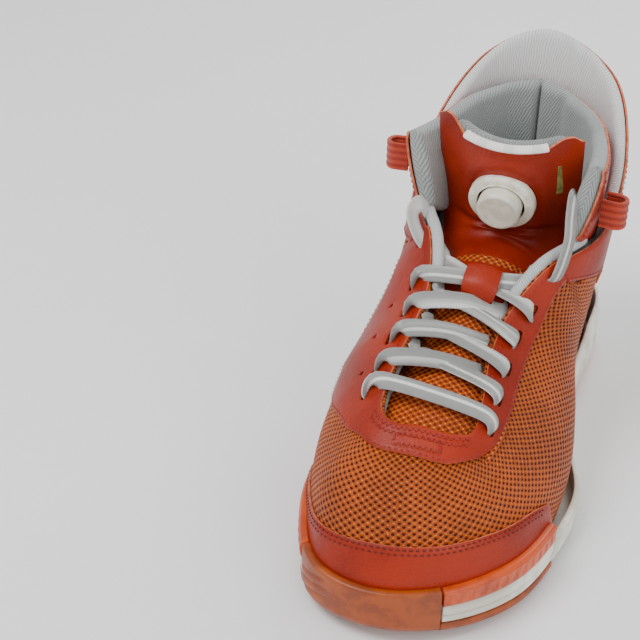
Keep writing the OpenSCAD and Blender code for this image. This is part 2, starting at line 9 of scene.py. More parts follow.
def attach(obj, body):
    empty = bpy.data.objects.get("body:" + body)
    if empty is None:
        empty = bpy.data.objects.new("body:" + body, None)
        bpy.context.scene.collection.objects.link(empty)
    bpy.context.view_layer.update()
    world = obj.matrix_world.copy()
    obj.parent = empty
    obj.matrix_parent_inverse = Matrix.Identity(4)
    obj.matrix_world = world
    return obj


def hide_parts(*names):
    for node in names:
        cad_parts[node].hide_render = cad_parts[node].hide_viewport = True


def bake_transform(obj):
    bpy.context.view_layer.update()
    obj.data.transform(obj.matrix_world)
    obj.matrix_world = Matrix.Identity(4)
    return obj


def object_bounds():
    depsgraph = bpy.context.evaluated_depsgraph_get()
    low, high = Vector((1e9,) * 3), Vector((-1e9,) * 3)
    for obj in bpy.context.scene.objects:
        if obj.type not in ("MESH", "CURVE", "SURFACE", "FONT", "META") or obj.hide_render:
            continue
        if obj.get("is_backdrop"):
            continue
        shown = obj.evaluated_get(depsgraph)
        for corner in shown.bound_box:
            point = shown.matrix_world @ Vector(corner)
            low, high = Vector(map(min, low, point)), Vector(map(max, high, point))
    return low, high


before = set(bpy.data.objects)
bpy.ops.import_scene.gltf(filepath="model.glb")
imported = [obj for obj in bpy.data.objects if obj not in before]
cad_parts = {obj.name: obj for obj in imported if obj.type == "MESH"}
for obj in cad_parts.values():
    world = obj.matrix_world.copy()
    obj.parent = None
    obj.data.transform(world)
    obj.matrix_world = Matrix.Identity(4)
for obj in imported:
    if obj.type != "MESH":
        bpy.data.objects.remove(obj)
cad_low, cad_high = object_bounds()

MM = 0.001
MIDDLE = np.array([-0.7, -4.6, 0.0])
WALL_GAP, WALL_TOP = 2.8, 29
LEATHER_OFF = 1.75
SLOT_LENGTH, SLOT_WIDTH, VENT_RADIUS = 8, 3.2, 1.3
WELL_RADIUS, WELL_DEPTH = 11.2, 6.4

# ---------------------------------------------------------------- the last: tables shared with the CAD source
STATIONS = [
    [[-3, -134, 17.6], [-1, -82, 75], [34, 3, 28, 13], 3.8],
    [[24, -122, 16], [12, -81, 74], [32, 4, 28, 15], 3.8],
    [[45, -97, 13], [19, -74, 73], [30, 6, 24, 18], 3.8],
    [[54, -66, 11.5], [18, -56, 79], [36, 8, 22, 19], 4],
    [[55, -34, 11.5], [15, -36, 87], [40, 12, 26, 20], 6.5],
    [[49, -4, 11.5], [17, -14, 97], [46, 13, 26, 22], 3.4],
    [[40, 26, 11.5], [29, 4, 114], [48, 12, 17, 26], 3.2],
    [[35.5, 56, 11.5], [48, 38, 121], [46, 8, 2, 32], 4.2],
    [[36, 90, 11.5], [49, 74, 145], [46, 4, -8, 36], 4.2],
    [[32, 123, 11.5], [33, 112, 167], [52, 2, -10, 42], 4.6],
    [[-1, 140, 11.5], [-2, 127, 180], [58, 1, -14, 48], 5],
    [[-31, 125, 11.5], [-31, 114, 171], [52, 2, -10, 42], 5],
    [[-34, 92, 11.5], [-45, 76, 150], [46, 3, -6, 36], 5],
    [[-32, 58, 11.5], [-45, 42, 124], [46, 18, 8, 32], 5],
    [[-31, 28, 11.5], [-27, 8, 116], [48, 34, 26, 26], 5],
    [[-36, -6, 11.5], [-20, -16, 103], [44, 36, 31, 22], 5],
    [[-44, -38, 11.5], [-20, -38, 94], [38, 28, 33, 20], 5],
    [[-49, -70, 11.5], [-22, -58, 84], [34, 15, 28, 19], 3.8],
    [[-44, -98, 13], [-21, -76, 77], [30, 8, 25, 18], 3.8],
    [[-29, -127, 16], [-14, -83, 75], [32, 4, 28, 15], 3.8],
]
COLLAR = [
    [[39, 20, 122], [47, 22, 160]],
    [[41, 42, 112], [43, 50, 160]],
    [[31, 82, 104], [30, 84, 160]],
    [[-1, 109, 100], [-2, 112, 161]],
    [[-28, 82, 104], [-30, 86, 160]],
    [[-36, 46, 112], [-41, 52, 158]],
    [[-39, 26, 122], [-48, 27, 160]],
]
TONGUE = np.array([
    [-82, 60, 20, 8], [-60, 74, 22, 14], [-32, 88, 21, 20], [-6, 100, 20, 14], [13, 108, 24, 11],
    [30, 110.5, 28, 11], [32.2, 119, 30, 12], [28.2, 135, 30.5, 13], [24.8, 148.5, 30.5, 13],
    [21.5, 161, 30.5, 13],
], float)
FOOT, TOP, BEND = (np.array([s[k] for s in STATIONS], float) for k in range(3))
WALL = np.array([[s[3]] for s in STATIONS], float)
COLLAR_LOW = np.array([c[0] for c in COLLAR], float)
COLLAR_HIGH = np.array([c[1] for c in COLLAR], float)
LACE_ROUTE = np.array([
    [-30, 33, 67], [-31, 33, 84], [-32, 31, 100], [-34, 27, 115], [-37, 20, 126], [-39, 13, 123],
    [-32, 8, 113], [-24, 11, 108], [-20, 9, 109], [-21, 3, 110],
    [1, -3, 104], [23, -11, 102], [27, -9, 96], [21, -3, 93], [16, -4, 95], [14, -11, 95],
    [-4, -18, 101], [-23, -26, 101], [-28, -24, 93], [-21, -22, 87], [-15, -26, 91], [-16, -30, 94],
    [1, -34, 91], [19, -39, 88], [24, -38, 82], [18, -36, 76], [12, -39, 78], [12, -42, 81],
    [-6, -48, 87], [-25, -55, 88], [-31, -54, 81], [-25, -53, 74], [-22, -58, 73], [-26, -65, 69],
    [-32, -67, 76], [-25, -67, 83],
    [-1, -67, 82], [22, -67, 78], [27, -68, 72], [22, -66, 65], [17, -58, 69],
    [20, -52, 70], [25, -53, 77], [21, -53, 83], [2, -48, 85], [-17, -44, 87], [-17, -40, 85],
    [-22, -38, 81], [-29, -39, 87], [-24, -41, 95], [-6, -34, 94], [11, -27, 87], [12, -22, 84],
    [18, -20, 82], [24, -22, 88], [19, -24, 94], [1, -18, 98], [-16, -14, 101], [-16, -8, 99],
    [-22, -6, 95], [-29, -9, 99], [-25, -11, 107], [-2, -6, 107], [22, 1, 106],
    [23, 7, 108], [27, 8, 107], [34, 4, 109], [37, 10, 124], [36, 15, 136],
    [35, 22, 142], [34, 30, 137], [33, 36, 122], [33, 38, 106], [32, 37, 90], [31, 36, 75],
], float)
LACE_LEAN = np.array([1, -0.3, 0.6])
LATERAL_EYELETS = [(2.5, .9), (3.25, .9), (4, .89), (4.7, .9), (5.3, .9), (6.05, .94)]
MEDIAL_EYELETS = [(-2.6, .87), (-3.15, .89), (-3.85, .89), (-4.5, .91), (-5.2, .9), (-6.05, .93)]


def unit(v):
    return v / np.maximum(np.linalg.norm(v, axis=-1, keepdims=True), 1e-9)


def spline(a, b, c, d, u):
    return 0.5 * (2 * b + (c - a) * u + (2 * a - 5 * b + 4 * c - d) * u**2 + (3 * b - a - 3 * c + d) * u**3)


def round_at(table, t):
    t = np.asarray(t, float)
    i = np.floor(t).astype(int)
    n = len(table)
    row = lambda k: table[k % n]
    return spline(row(i - 1), row(i), row(i + 1), row(i + 2), (t - i)[..., None])


def open_at(table, t):
    t = np.asarray(t, float)
    n = len(table)
    i = np.clip(np.floor(t).astype(int), 0, n - 2)
    keep = lambda k: table[np.clip(k, 0, n - 1)]
    return spline(keep(i - 1), keep(i), keep(i + 1), keep(i + 2), (t - i)[..., None])


def outward(t):
    d = round_at(FOOT, t + 0.05) - round_at(FOOT, t - 0.05)
    return unit(np.stack([d[..., 1], -d[..., 0], 0 * d[..., 0]], -1))


def shell_point(t, u):
    """Outside of the open mesh: t runs round the shoe, u from the foot line to the top line."""
    foot, top, bend, n = round_at(FOOT, t), round_at(TOP, t), round_at(BEND, t), outward(t)
    up = np.array([0, 0, 1.0])
    low = foot + n * bend[..., 1:2] + up * bend[..., 0:1]
    high = top + n * bend[..., 2:3] - up * bend[..., 3:4]
    u = np.asarray(u, float)[..., None]
    w = 1 - u
    return foot * w**3 + low * 3 * w * w * u + high * 3 * w * u * u + top * u**3


def shell_normal(t, u):
    e = 0.02
    along = shell_point(t + e, u) - shell_point(t - e, u)
    return unit(np.cross(along, shell_point(t, u + e) - shell_point(t, u - e)))


def shell(t, u, off=0.0):
    t, u = np.broadcast_arrays(np.asarray(t, float), np.asarray(u, float))
    return shell_point(t, u) + shell_normal(t, u) * np.broadcast_to(off, t.shape)[..., None]


def collar_point(s, u):
    d = open_at(COLLAR_LOW, s + 0.05) - open_at(COLLAR_LOW, s - 0.05)
    n = unit(np.stack([d[..., 1], -d[..., 0], 0 * d[..., 0]], -1))
    u = np.asarray(u, float)[..., None]
    return open_at(COLLAR_LOW, s) * (1 - u) + open_at(COLLAR_HIGH, s) * u + n * 6 * u * (1 - u)


def collar(s, u, off=0.0):
    s, u = np.broadcast_arrays(np.asarray(s, float), np.asarray(u, float))
    e = 0.05
    along = collar_point(s + e, u) - collar_point(s - e, u)
    n = unit(np.cross(along, collar_point(s, u + e) - collar_point(s, u - e)))
    return collar_point(s, u) + n * np.broadcast_to(off, s.shape)[..., None]


def tongue_point(a, v):
    over = np.maximum(np.asarray(a, float) - 8.9, 0)[..., None]
    a = np.minimum(a, 8.9)
    p, d = open_at(TONGUE, a), open_at(TONGUE, a + 0.05) - open_at(TONGUE, a - 0.05)
    p = p + over * np.array([-3.3, 12.5, 0, 0])
    v = np.asarray(v, float)
    back = unit(np.stack([0 * d[..., 0], d[..., 1], -d[..., 0]], -1))
    line = np.stack([v * p[..., 2], p[..., 0], p[..., 1]], -1)
    return line + back * (p[..., 3] * v * v)[..., None]


def tongue(a, v, off=0.0):
    a, v = np.broadcast_arrays(np.asarray(a, float), np.asarray(v, float))
    e = 0.02
    across = tongue_point(a, v + e) - tongue_point(a, v - e)
    n = unit(np.cross(across, tongue_point(a + e, v) - tongue_point(a - e, v)))
    return tongue_point(a, v) + n * np.broadcast_to(off, a.shape)[..., None]


def between(low, high, x):
    x = np.clip((np.asarray(x, float) - low) / (high - low), 0, 1)
    return x * x * (3 - 2 * x)


def bell(x, centre, width):
    return np.exp(-((np.asarray(x, float) - centre) / width) ** 2)


def edge_table(points):
    """A smooth edge height along t, from a short list of [t, u]."""
    xs, ys = np.array(points, float).T
    return lambda t: sum(np.interp(np.asarray(t, float) + k * 0.09, xs, ys) for k in range(-3, 4)) / 7


eyestay_low = edge_table([
    [-6.2, .76], [-5.5, .66], [-5.1, .55], [-4.4, .47], [-3.5, .48], [-3, .56], [-2.5, .7],
    [-1.4, .84], [0, .835],
    [.6, .825], [1.2, .86], [2, .87], [2.6, .82], [3.2, .8], [4.2, .81], [5.3, .81], [6.2, .87],
])
toe_cap_high = edge_table([
    [-3.1, .2], [-2.8, .23], [-2, .27], [-.9, .33], [.3, .35], [1, .39], [1.7, .43],
    [2.3, .4], [2.7, .33], [3.2, .22],
])
ground_radius = 68 * 68 / 2 / 7


def ground(y):
    ahead = np.maximum(-72 - np.asarray(y, float), 0)
    return ground_radius - np.sqrt(ground_radius**2 - ahead**2)


# ---------------------------------------------------------------- shader groups and materials
class Net:
    """Short names for making and joining shader nodes."""

    def __init__(self, tree):
        self.tree = tree
        tree.nodes.clear()

    def node(self, kind, inputs=None, **settings):
        n = self.tree.nodes.new(kind)
        for key, value in settings.items():
            setattr(n, key, value)
        for key, value in (inputs or {}).items():
            if isinstance(value, bpy.types.NodeSocket):
                self.tree.links.new(value, n.inputs[key])
            else:
                n.inputs[key].default_value = value
        return n

    def math(self, kind, a, b=0.0, clamp=False):
        return self.node("ShaderNodeMath", {0: a, 1: b}, operation=kind, use_clamp=clamp).outputs[0]

    def wave(self, turns):
        """A sine between 0 and 1."""
        swing = self.math("SINE", self.math("MULTIPLY", turns, 6.2832))
        return self.math("ADD", self.math("MULTIPLY", swing, 0.5), 0.5)

    def blend(self, a, share_a, b, share_b):
        """Two values added by their shares."""
        return self.math("ADD", self.math("MULTIPLY", a, share_a), self.math("MULTIPLY", b, share_b))

    def level(self, value, low, high):
        return self.node("ShaderNodeMapRange", {"Value": value, "From Min": low, "From Max": high},
                         interpolation_type="SMOOTHSTEP").outputs["Result"]

    def mix(self, share, a, b):
        n = self.node("ShaderNodeMix", data_type="RGBA")
        for k, v in ((0, share), (6, a), (7, b)):
            if isinstance(v, bpy.types.NodeSocket):
                self.tree.links.new(v, n.inputs[k])
            else:
                n.inputs[k].default_value = (*v, 1) if k else v
        return n.outputs[2]

    def noise(self, vector, scale, detail=3.0, rough=0.5):
        return self.node("ShaderNodeTexNoise", {"Vector": vector, "Scale": scale, "Detail": detail,
                                                "Roughness": rough}).outputs["Fac"]


def shader_group(name, inputs, outputs, build):
    group = bpy.data.node_groups.new(name, "ShaderNodeTree")
    for label, kind, value in inputs:
        s = group.interface.new_socket(name=label, in_out="INPUT", socket_type=kind)
        if value is not None:
            s.default_value = value
    for label, kind in outputs:
        group.interface.new_socket(name=label, in_out="OUTPUT", socket_type=kind)
    net = Net(group)
    source = net.node("NodeGroupInput")
    results = build(net, source.outputs)
    net.node("NodeGroupOutput", results)
    return group


FLOAT, VECTOR = "NodeSocketFloat", "NodeSocketVector"


def build_grain(net, given):
    cell = net.node("ShaderNodeTexVoronoi", {"Vector": given["Vector"], "Scale": given["Pebbles"]},
                    feature="SMOOTH_F1").outputs["Distance"]
    pebble = net.level(cell, 0.1, 0.75)
    crease = net.level(net.noise(given["Vector"], 120.0, 4.0, 0.62), 0.36, 0.5)
    broad = net.noise(given["Vector"], 22.0, 3.0)
    return {"Height": net.blend(pebble, -0.45, crease, given["Creases"]),
            "Tone": net.blend(broad, 0.9, pebble, 0.1)}


leather_grain = shader_group(
    "leather grain", [("Vector", VECTOR, None), ("Pebbles", FLOAT, 1300.0), ("Creases", FLOAT, 0.6)],
    [("Height", FLOAT), ("Tone", FLOAT)], build_grain)


def build_ribs(net, given):
    parts = net.node("ShaderNodeSeparateXYZ", {"Vector": given["Vector"]}).outputs
    slanted = net.math("ADD", parts["X"], net.math("MULTIPLY", parts["Y"], given["Slant"]))
    wobble = net.math("MULTIPLY", net.noise(given["Vector"], 0.15, 2.0), given["Wobble"])
    turn = net.math("MULTIPLY", net.math("ADD", slanted, wobble), given["Ribs per mm"])
    rib = net.wave(turn)
    thread = net.wave(net.math("MULTIPLY", parts["Y"], given["Threads per mm"]))
    height = net.blend(rib, 0.7, thread, 0.3)
    fuzz = net.noise(given["Vector"], 2.2, 2.0)
    return {"Height": net.math("ADD", height, net.math("MULTIPLY", fuzz, 0.25)), "Rib": rib}


knit_ribs = shader_group(
    "knit ribs", [("Vector", VECTOR, None), ("Ribs per mm", FLOAT, 0.6), ("Slant", FLOAT, 0.5),
                  ("Threads per mm", FLOAT, 1.2), ("Wobble", FLOAT, 2.0)],
    [("Height", FLOAT), ("Rib", FLOAT)], build_ribs)


def build_open_mesh(net, given):
    cell = net.node("ShaderNodeTexVoronoi", {"Vector": given["Vector"], "Scale": 1.0,
                                             "Randomness": given["Uneven"]},
                    voronoi_dimensions="2D").outputs["Distance"]
    # Shaded hole marks the holes; the materials paint them dark as painted shade.
    shaded_hole = net.math("SUBTRACT", 1.0, net.level(cell, 0.2, 0.33))
    # Lit knot marks the raised knots between the holes; the materials paint a highlight on them.
    lit_knot = net.level(cell, 0.54, 0.68)
    strand = net.noise(given["Vector"], 5.0, 2.0)
    height = net.blend(net.level(cell, 0.15, 0.62), 0.85, strand, 0.15)
    return {"Hole": shaded_hole, "Knot": lit_knot, "Height": height}


open_mesh = shader_group(
    "open mesh", [("Vector", VECTOR, None), ("Uneven", FLOAT, 0.08)],
    [("Hole", FLOAT), ("Knot", FLOAT), ("Height", FLOAT)], build_open_mesh)


def build_grime(net, given):
    patch = net.noise(given["Vector"], given["Patches"], 5.0, 0.6)
    return {"Mask": net.level(patch, given["Start"], net.math("ADD", given["Start"], 0.18))}


grime = shader_group(
    "grime", [("Vector", VECTOR, None), ("Patches", FLOAT, 40.0), ("Start", FLOAT, 0.5)],
    [("Mask", FLOAT)], build_grime)


def material(name, build, **sockets):
    """A Principled material; build returns what feeds Base Color, Roughness and the height of its bump."""
    m = bpy.data.materials.new(name)
    m.use_nodes = True
    net = Net(m.node_tree)
    shader = net.node("ShaderNodeBsdfPrincipled")
    net.node("ShaderNodeOutputMaterial", {"Surface": shader.outputs[0]})
    for key, value in sockets.items():
        shader.inputs[key.replace("_", " ")].default_value = value
    coords = net.node("ShaderNodeTexCoord").outputs
    made = build(net, coords)
    for key in ("Base Color", "Roughness", "Alpha"):
        if key in made:
            if isinstance(made[key], bpy.types.NodeSocket):
                net.tree.links.new(made[key], shader.inputs[key])
            else:
                shader.inputs[key].default_value = made[key]
    if "Height" in made:
        bump = net.node("ShaderNodeBump", {"Height": made["Height"], "Distance": made["Depth"] * MM,
                                           "Strength": made.get("Strength", 1.0)})
        net.tree.links.new(bump.outputs[0], shader.inputs["Normal"])
    return m


def use(net, group, inputs):
    n = net.tree.nodes.new("ShaderNodeGroup")
    n.node_tree = group
    for key, value in inputs.items():
        if isinstance(value, bpy.types.NodeSocket):
            net.tree.links.new(value, n.inputs[key])
        else:
            n.inputs[key].default_value = value
    return n.outputs


def leather(name, dark, light, pebbles=1500.0, creases=0.5, depth=0.16, **sockets):
    def build(net, coords):
        grain = use(net, leather_grain, {"Vector": coords["Object"], "Pebbles": pebbles, "Creases": creases})
        dust = use(net, grime, {"Vector": coords["Object"], "Patches": 14.0, "Start": 0.5})["Mask"]
        tone = net.mix(net.level(grain["Tone"], 0.35, 0.7), dark, light)
        colour = net.mix(net.math("MULTIPLY", dust, 0.1), tone, tuple(0.55 * c for c in dark))
        rough = net.math("ADD", 0.33, net.math("MULTIPLY", net.noise(coords["Object"], 90.0), 0.2))
        return {"Base Color": colour, "Roughness": rough, "Height": grain["Height"], "Depth": depth}
    return material(name, build, **sockets)


red_leather = leather("red leather", (0.20, 0.0075, 0.0001), (0.34, 0.0180, 0.0001), Coat_Weight=0.06,
                      Coat_Roughness=0.3, Specular_IOR_Level=0.28)
tan_leather = leather("tan leather", (0.15, 0.040, 0.009), (0.22, 0.066, 0.015), creases=0.6)


def plain(name, dark, light, patches=60.0, rough=0.5, grain=0.0, depth=0.1, **sockets):
    def build(net, coords):
        mask = use(net, grime, {"Vector": coords["Object"], "Patches": patches, "Start": 0.42})["Mask"]
        fine = net.noise(coords["Object"], 900.0, 2.0)
        colour = net.mix(mask, light, dark)
        sheen = net.math("ADD", rough - 0.08, net.math("MULTIPLY", fine, 0.16))
        return {"Base Color": colour, "Roughness": sheen, "Height": net.blend(fine, grain, mask, 0.06),
                "Depth": depth}
    return material(name, build, **sockets)


cut_edge = plain("leather cut edge", (0.40, 0.09, 0.03), (0.58, 0.17, 0.075), 300.0, 0.7, 1.0, 0.15)
forefoot_rubber = plain("forefoot rubber", (0.23, 0.035, 0.0002), (0.34, 0.056, 0.0002), 90.0, 0.42, 0.5, 0.08)
heel_rubber = plain("heel rubber", (0.34, 0.02, 0.001), (0.5, 0.04, 0.002), 90.0, 0.45, 0.5, 0.08)
white_foam = plain("white foam", (0.62, 0.60, 0.50), (0.84, 0.84, 0.76), 45.0, 0.45, 0.7, 0.08,
                   Subsurface_Weight=0.08, Subsurface_Scale=0.002)
clip_plastic = plain("orange clip", (0.42, 0.042, 0.0003), (0.56, 0.064, 0.0004), 60.0, 0.33, 0.2, 0.05)
pump_plastic = plain("pump plastic", (0.66, 0.62, 0.50), (0.82, 0.79, 0.68), 160.0, 0.42, 0.3, 0.05)
pump_rubber = plain("pump rubber", (0.58, 0.54, 0.44), (0.72, 0.68, 0.58), 120.0, 0.38, 0.3, 0.05)
tip_plastic = plain("lace tip", (0.75, 0.75, 0.72), (0.85, 0.85, 0.82), 200.0, 0.25)
bladder_film = plain("bladder film", (0.16, 0.14, 0.03), (0.28, 0.25, 0.07), 200.0, 0.25)
board_felt = plain("board felt", (0.40, 0.32, 0.2), (0.5, 0.42, 0.28), 200.0, 0.9, 1.0, 0.2)
red_thread = plain("red thread", (0.20, 0.006, 0.0005), (0.36, 0.016, 0.001), 800.0, 0.6, 1.0, 0.1)
dark_thread = plain("dark thread", (0.06, 0.004, 0.001), (0.11, 0.008, 0.002), 800.0, 0.7, 1.0, 0.1)
dark_inside = plain("dark inside", (0.02, 0.008, 0.006), (0.04, 0.015, 0.01), 200.0, 0.9)


def mesh_fabric(name, across, along, turn, shaded_hole, cloth, lit_knot, gloss=0.5):
    def build(net, coords):
        place = net.node("ShaderNodeMapping", {"Vector": coords["UV"], "Scale": (1 / across, 1 / along, 1),
                                               "Rotation": (0, 0, turn)}).outputs[0]
        weave = use(net, open_mesh, {"Vector": place, "Uneven": 0.1})
        shade = net.level(net.noise(coords["Object"], 35.0), 0.35, 0.65)
        tone = net.mix(shade, cloth, tuple(0.72 * c for c in cloth))
        # Painted highlight: the knots take a brighter colour, standing in for light catching the raised
        # threads.
        colour = net.mix(weave["Knot"], tone, lit_knot)
        # Painted shade: the holes take a near-black colour for the shade inside them.
        colour = net.mix(weave["Hole"], colour, shaded_hole)
        rough = net.math("ADD", gloss, net.math("MULTIPLY", weave["Hole"], 0.4))
        return {"Base Color": colour, "Roughness": rough, "Height": weave["Height"], "Depth": 0.7}
    return material(name, build, Specular_IOR_Level=0.3)


# Each open mesh: the first colour is painted shade in its holes, then the cloth, then the painted highlight on
# its knots.
upper_mesh = mesh_fabric("upper open mesh", 2.7, 2.2, 0.6, (0.040, 0.003, 0.0003), (0.42, 0.068, 0.0002),
                         (0.70, 0.165, 0.002))
tongue_mesh = mesh_fabric("tongue open mesh", 2.6, 2.2, 0.785, (0.12, 0.008, 0.001), (0.50, 0.075, 0.001),
                          (0.90, 0.30, 0.03), 0.32)


def knit(name, dark, light, ribs, slant, threads, depth=0.35, stain=None, wobble=2.0):
    def build(net, coords):
        rib = use(net, knit_ribs, {"Vector": coords["UV"], "Ribs per mm": ribs, "Slant": slant,
                                   "Threads per mm": threads, "Wobble": wobble})
        # Painted shade: colour follows the same rib wave as the bump, dark in the grooves and light on the
        # crests.
        colour = net.mix(net.level(rib["Rib"], 0.0, 0.7), dark, light)
        dust = use(net, grime, {"Vector": coords["Object"], "Patches": 24.0, "Start": 0.5})["Mask"]
        colour = net.mix(net.math("MULTIPLY", dust, 0.35), colour, stain or tuple(0.8 * c for c in dark))
        return {"Base Color": colour, "Roughness": 0.85, "Height": rib["Height"], "Depth": depth}
    return material(name, build, Sheen_Weight=0.25, Sheen_Roughness=0.5)


# In each knit below, the first colour is the painted shade of the rib grooves and the second the cloth on the
# crests.
collar_knit = knit("collar knit", (0.20, 0.22, 0.215), (0.36, 0.385, 0.37), 0.62, 0.55, 1.3)
flap_knit = knit("flap knit", (0.52, 0.50, 0.50), (0.74, 0.73, 0.72), 0.8, 0.08, 1.6, 0.3,
                 stain=(0.50, 0.36, 0.40))
lining_knit = knit("lining knit", (0.16, 0.17, 0.17), (0.26, 0.27, 0.27), 0.6, 0.5, 1.2)
roll_knit = knit("topline knit", (0.36, 0.37, 0.38), (0.56, 0.58, 0.58), 0.9, 0.4, 1.4, 0.25)
insole_cloth = knit("insole cloth", (0.05, 0.05, 0.055), (0.10, 0.10, 0.11), 0.8, 1.0, 1.0)
lace_weave = knit("lace weave", (0.55, 0.56, 0.53), (0.90, 0.91, 0.88), 0.1, 8.0, 0.8, 0.5, wobble=0.1)
webbing = knit("loop webbing", (0.30, 0.013, 0.001), (0.52, 0.036, 0.002), 0.28, 0.0, 1.1, 0.8, wobble=0.2)


def strip_tape_material():
    def build(net, coords):
        rib = use(net, knit_ribs, {"Vector": coords["UV"], "Ribs per mm": 1.2, "Slant": 0.0,
                                   "Threads per mm": 1.2, "Wobble": 0.2})
        x = net.node("ShaderNodeSeparateXYZ", {"Vector": coords["UV"]}).outputs["X"]
        block = net.math("GREATER_THAN", net.math("FRACT", net.math("DIVIDE", x, 13.0)), 0.62)
        colour = net.mix(net.math("MULTIPLY", block, 0.6), (0.84, 0.80, 0.76), (0.60, 0.63, 0.58))
        return {"Base Color": colour, "Roughness": 0.6, "Height": rib["Height"], "Depth": 0.15}
    return material("strip tape", build)


strip_tape = strip_tape_material()


# ---------------------------------------------------------------- mesh helpers
def measure(points, rows, cols):
    """Real lengths across and along a grid of points, in mm, for cloth patterns that follow the surface."""
    p = points.reshape(rows, cols, 3)
    across = np.linalg.norm(np.diff(p, axis=1), axis=2).mean(0)
    along = np.linalg.norm(np.diff(p, axis=0), axis=2)
    u = np.concatenate([[0], np.cumsum(across)])
    v = np.vstack([np.zeros(cols), np.cumsum(along, axis=0)])
    return np.tile(u, (rows, 1)).ravel(), v.ravel()


def grow_grid(bm, cols, rows, place, flip=False):
    """Adds a grid whose points place(a, b) puts where they belong; a and b run from 0 to 1."""
    made = bmesh.ops.create_grid(bm, x_segments=cols, y_segments=rows, size=1)["verts"]
    co = np.array([v.co for v in made])
    a, b = (co[:, 0] + 1) / 2, (co[:, 1] + 1) / 2
    points = place(a, b)
    order = np.lexsort((np.round(a, 6), np.round(b, 6)))
    n_cols = len(np.unique(np.round(a, 6)))
    u, v = measure(points[order], len(a) // n_cols, n_cols)
    lengths = np.zeros((len(a), 2))
    lengths[order] = np.stack([u, v], 1)
    number = {vert: k for k, vert in enumerate(made)}
    for vert, p in zip(made, (points + MIDDLE) * MM):
        vert.co = p
    uv = bm.loops.layers.uv.verify()
    faces = {f for vert in made for f in vert.link_faces}
    for f in faces:
        for loop in f.loops:
            loop[uv].uv = lengths[number[loop.vert]]
    if flip:
        bmesh.ops.reverse_faces(bm, faces=list(faces))
    return made


def grid_mesh(cols, rows, place, flip=False):
    bm = bmesh.new()
    grow_grid(bm, cols, rows, place, flip)
    return bm


def weld(bm, distance=1e-6):
    bmesh.ops.remove_doubles(bm, verts=bm.verts, dist=distance)
    return bm


def close_ends(bm):
    bmesh.ops.holes_fill(bm, edges=[e for e in bm.edges if e.is_boundary], sides=0)
    bmesh.ops.recalc_face_normals(bm, faces=bm.faces)


def piece(name, bm, looks, body="shoe", stands_for=(), slot=None):
    mesh = bpy.data.meshes.new(name)
    bm.to_mesh(mesh)
    bm.free()
    for m in looks if isinstance(looks, (list, tuple)) else [looks]:
        mesh.materials.append(m)
    mesh.polygons.foreach_set("use_smooth", [True] * len(mesh.polygons))
    obj = bpy.data.objects.new(name, mesh)
    bpy.context.scene.collection.objects.link(obj)
    if body:
        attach(obj, body)
    if stands_for:
        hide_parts(*stands_for)
    return obj


def thicken(obj, thick, bevel=0.35, rim=False):
    m = obj.modifiers.new("thickness", "SOLIDIFY")
    m.thickness = thick * MM
    m.offset = -1
    if rim:
        m.material_offset_rim = 1
    if bevel:
        b = obj.modifiers.new("soft edge", "BEVEL")
        b.width = bevel * MM
        b.segments = 2
        b.limit_method = "ANGLE"
        b.angle_limit = math.radians(50)
    return obj


def set_in_stone(obj):
    """Applies the modifiers to the mesh."""
    graph = bpy.context.evaluated_depsgraph_get()
    made = bpy.data.meshes.new_from_object(obj.evaluated_get(graph))
    obj.modifiers.clear()
    obj.data = made
    return obj


def leather_sheet(name, cols, rows, place, stands_for, slot="red_leather", body="shoe", looks=None, thick=1.3,
                  bevel=0.35):
    """A leather panel with a rounded, paler cut edge."""
    obj = piece(name, grid_mesh(cols, rows, place), looks or [red_leather, cut_edge], body, stands_for, slot)
    return thicken(obj, thick, bevel, rim=True)


def pillow(name, cols, rows, place, outer, inner, looks, stands_for, slot, body="shoe", edge=0.06, side=0.03):
    """A padded piece: two skins that meet in a rounded edge. place(a, b, off) gives points; edge and side are
    the shares of the height and of the length over which it rounds."""
    def roundness(a, b):
        r = lambda x, w: np.sqrt(np.clip(1 - (1 - np.clip(x / w, 0, 1)) ** 2, 0, 1))
        return r(np.minimum(b, 1 - b), edge) * r(np.minimum(a, 1 - a), side)

    def skin(which):
        def put(a, b):
            r = roundness(a, b)
            out, into = outer(a, b), inner(a, b)
            centre = (out + into) / 2
            return place(a, b, centre + (which * (out - into) / 2) * r)
        return put

    bm = grid_mesh(cols, rows, skin(1))
    grow_grid(bm, cols, rows, skin(-1), flip=True)
    obj = piece(name, weld(bm, 2e-6), looks, body, stands_for, slot)
    return obj


def runs(points, normals, pitch):
    """Evenly spaced places along a path: middle, direction, normal."""
    s = np.concatenate([[0], np.cumsum(np.linalg.norm(np.diff(points, axis=0), axis=1))])
    for k in range(int(s[-1] / pitch)):
        at = lambda x, data: np.array([np.interp(x, s, data[:, i]) for i in range(3)])
        mid = (k + 0.5) * pitch
        d = unit(at(mid + 0.3, points) - at(mid - 0.3, points))
        yield k, at(mid, points), d, unit(at(mid, normals))


def stitch(bm, paths, pitch=3.0, length=2.1, radius=0.42, zig=0.0):
    """Rows of small raised stitches along paths of (points, normals)."""
    for points, normals in paths:
        for k, p, d, n in runs(points, normals, pitch):
            side = np.cross(n, d)
            way = d
            if zig:
                way = unit(d * pitch + side * zig * (1 if k % 2 else -1))
                side = np.cross(n, way)
            m = Matrix.Identity(4)
            for col, v in enumerate((way * length / 2, side * radius, n * radius * 0.6)):
                for row in range(3):
                    m[row][col] = v[row] * MM
            for row in range(3):
                m[row][3] = (p[row] + MIDDLE[row]) * MM
            bmesh.ops.create_icosphere(bm, subdivisions=1, radius=1, matrix=m)


def shell_path(knots, off, per=24):
    """A smooth line on the upper through [t, u] knots."""
    table = np.array(knots, float)
    line = open_at(table, np.linspace(0, len(table) - 1, per * (len(table) - 1) + 1))
    return shell(line[:, 0], line[:, 1], off), shell_normal(line[:, 0], line[:, 1])


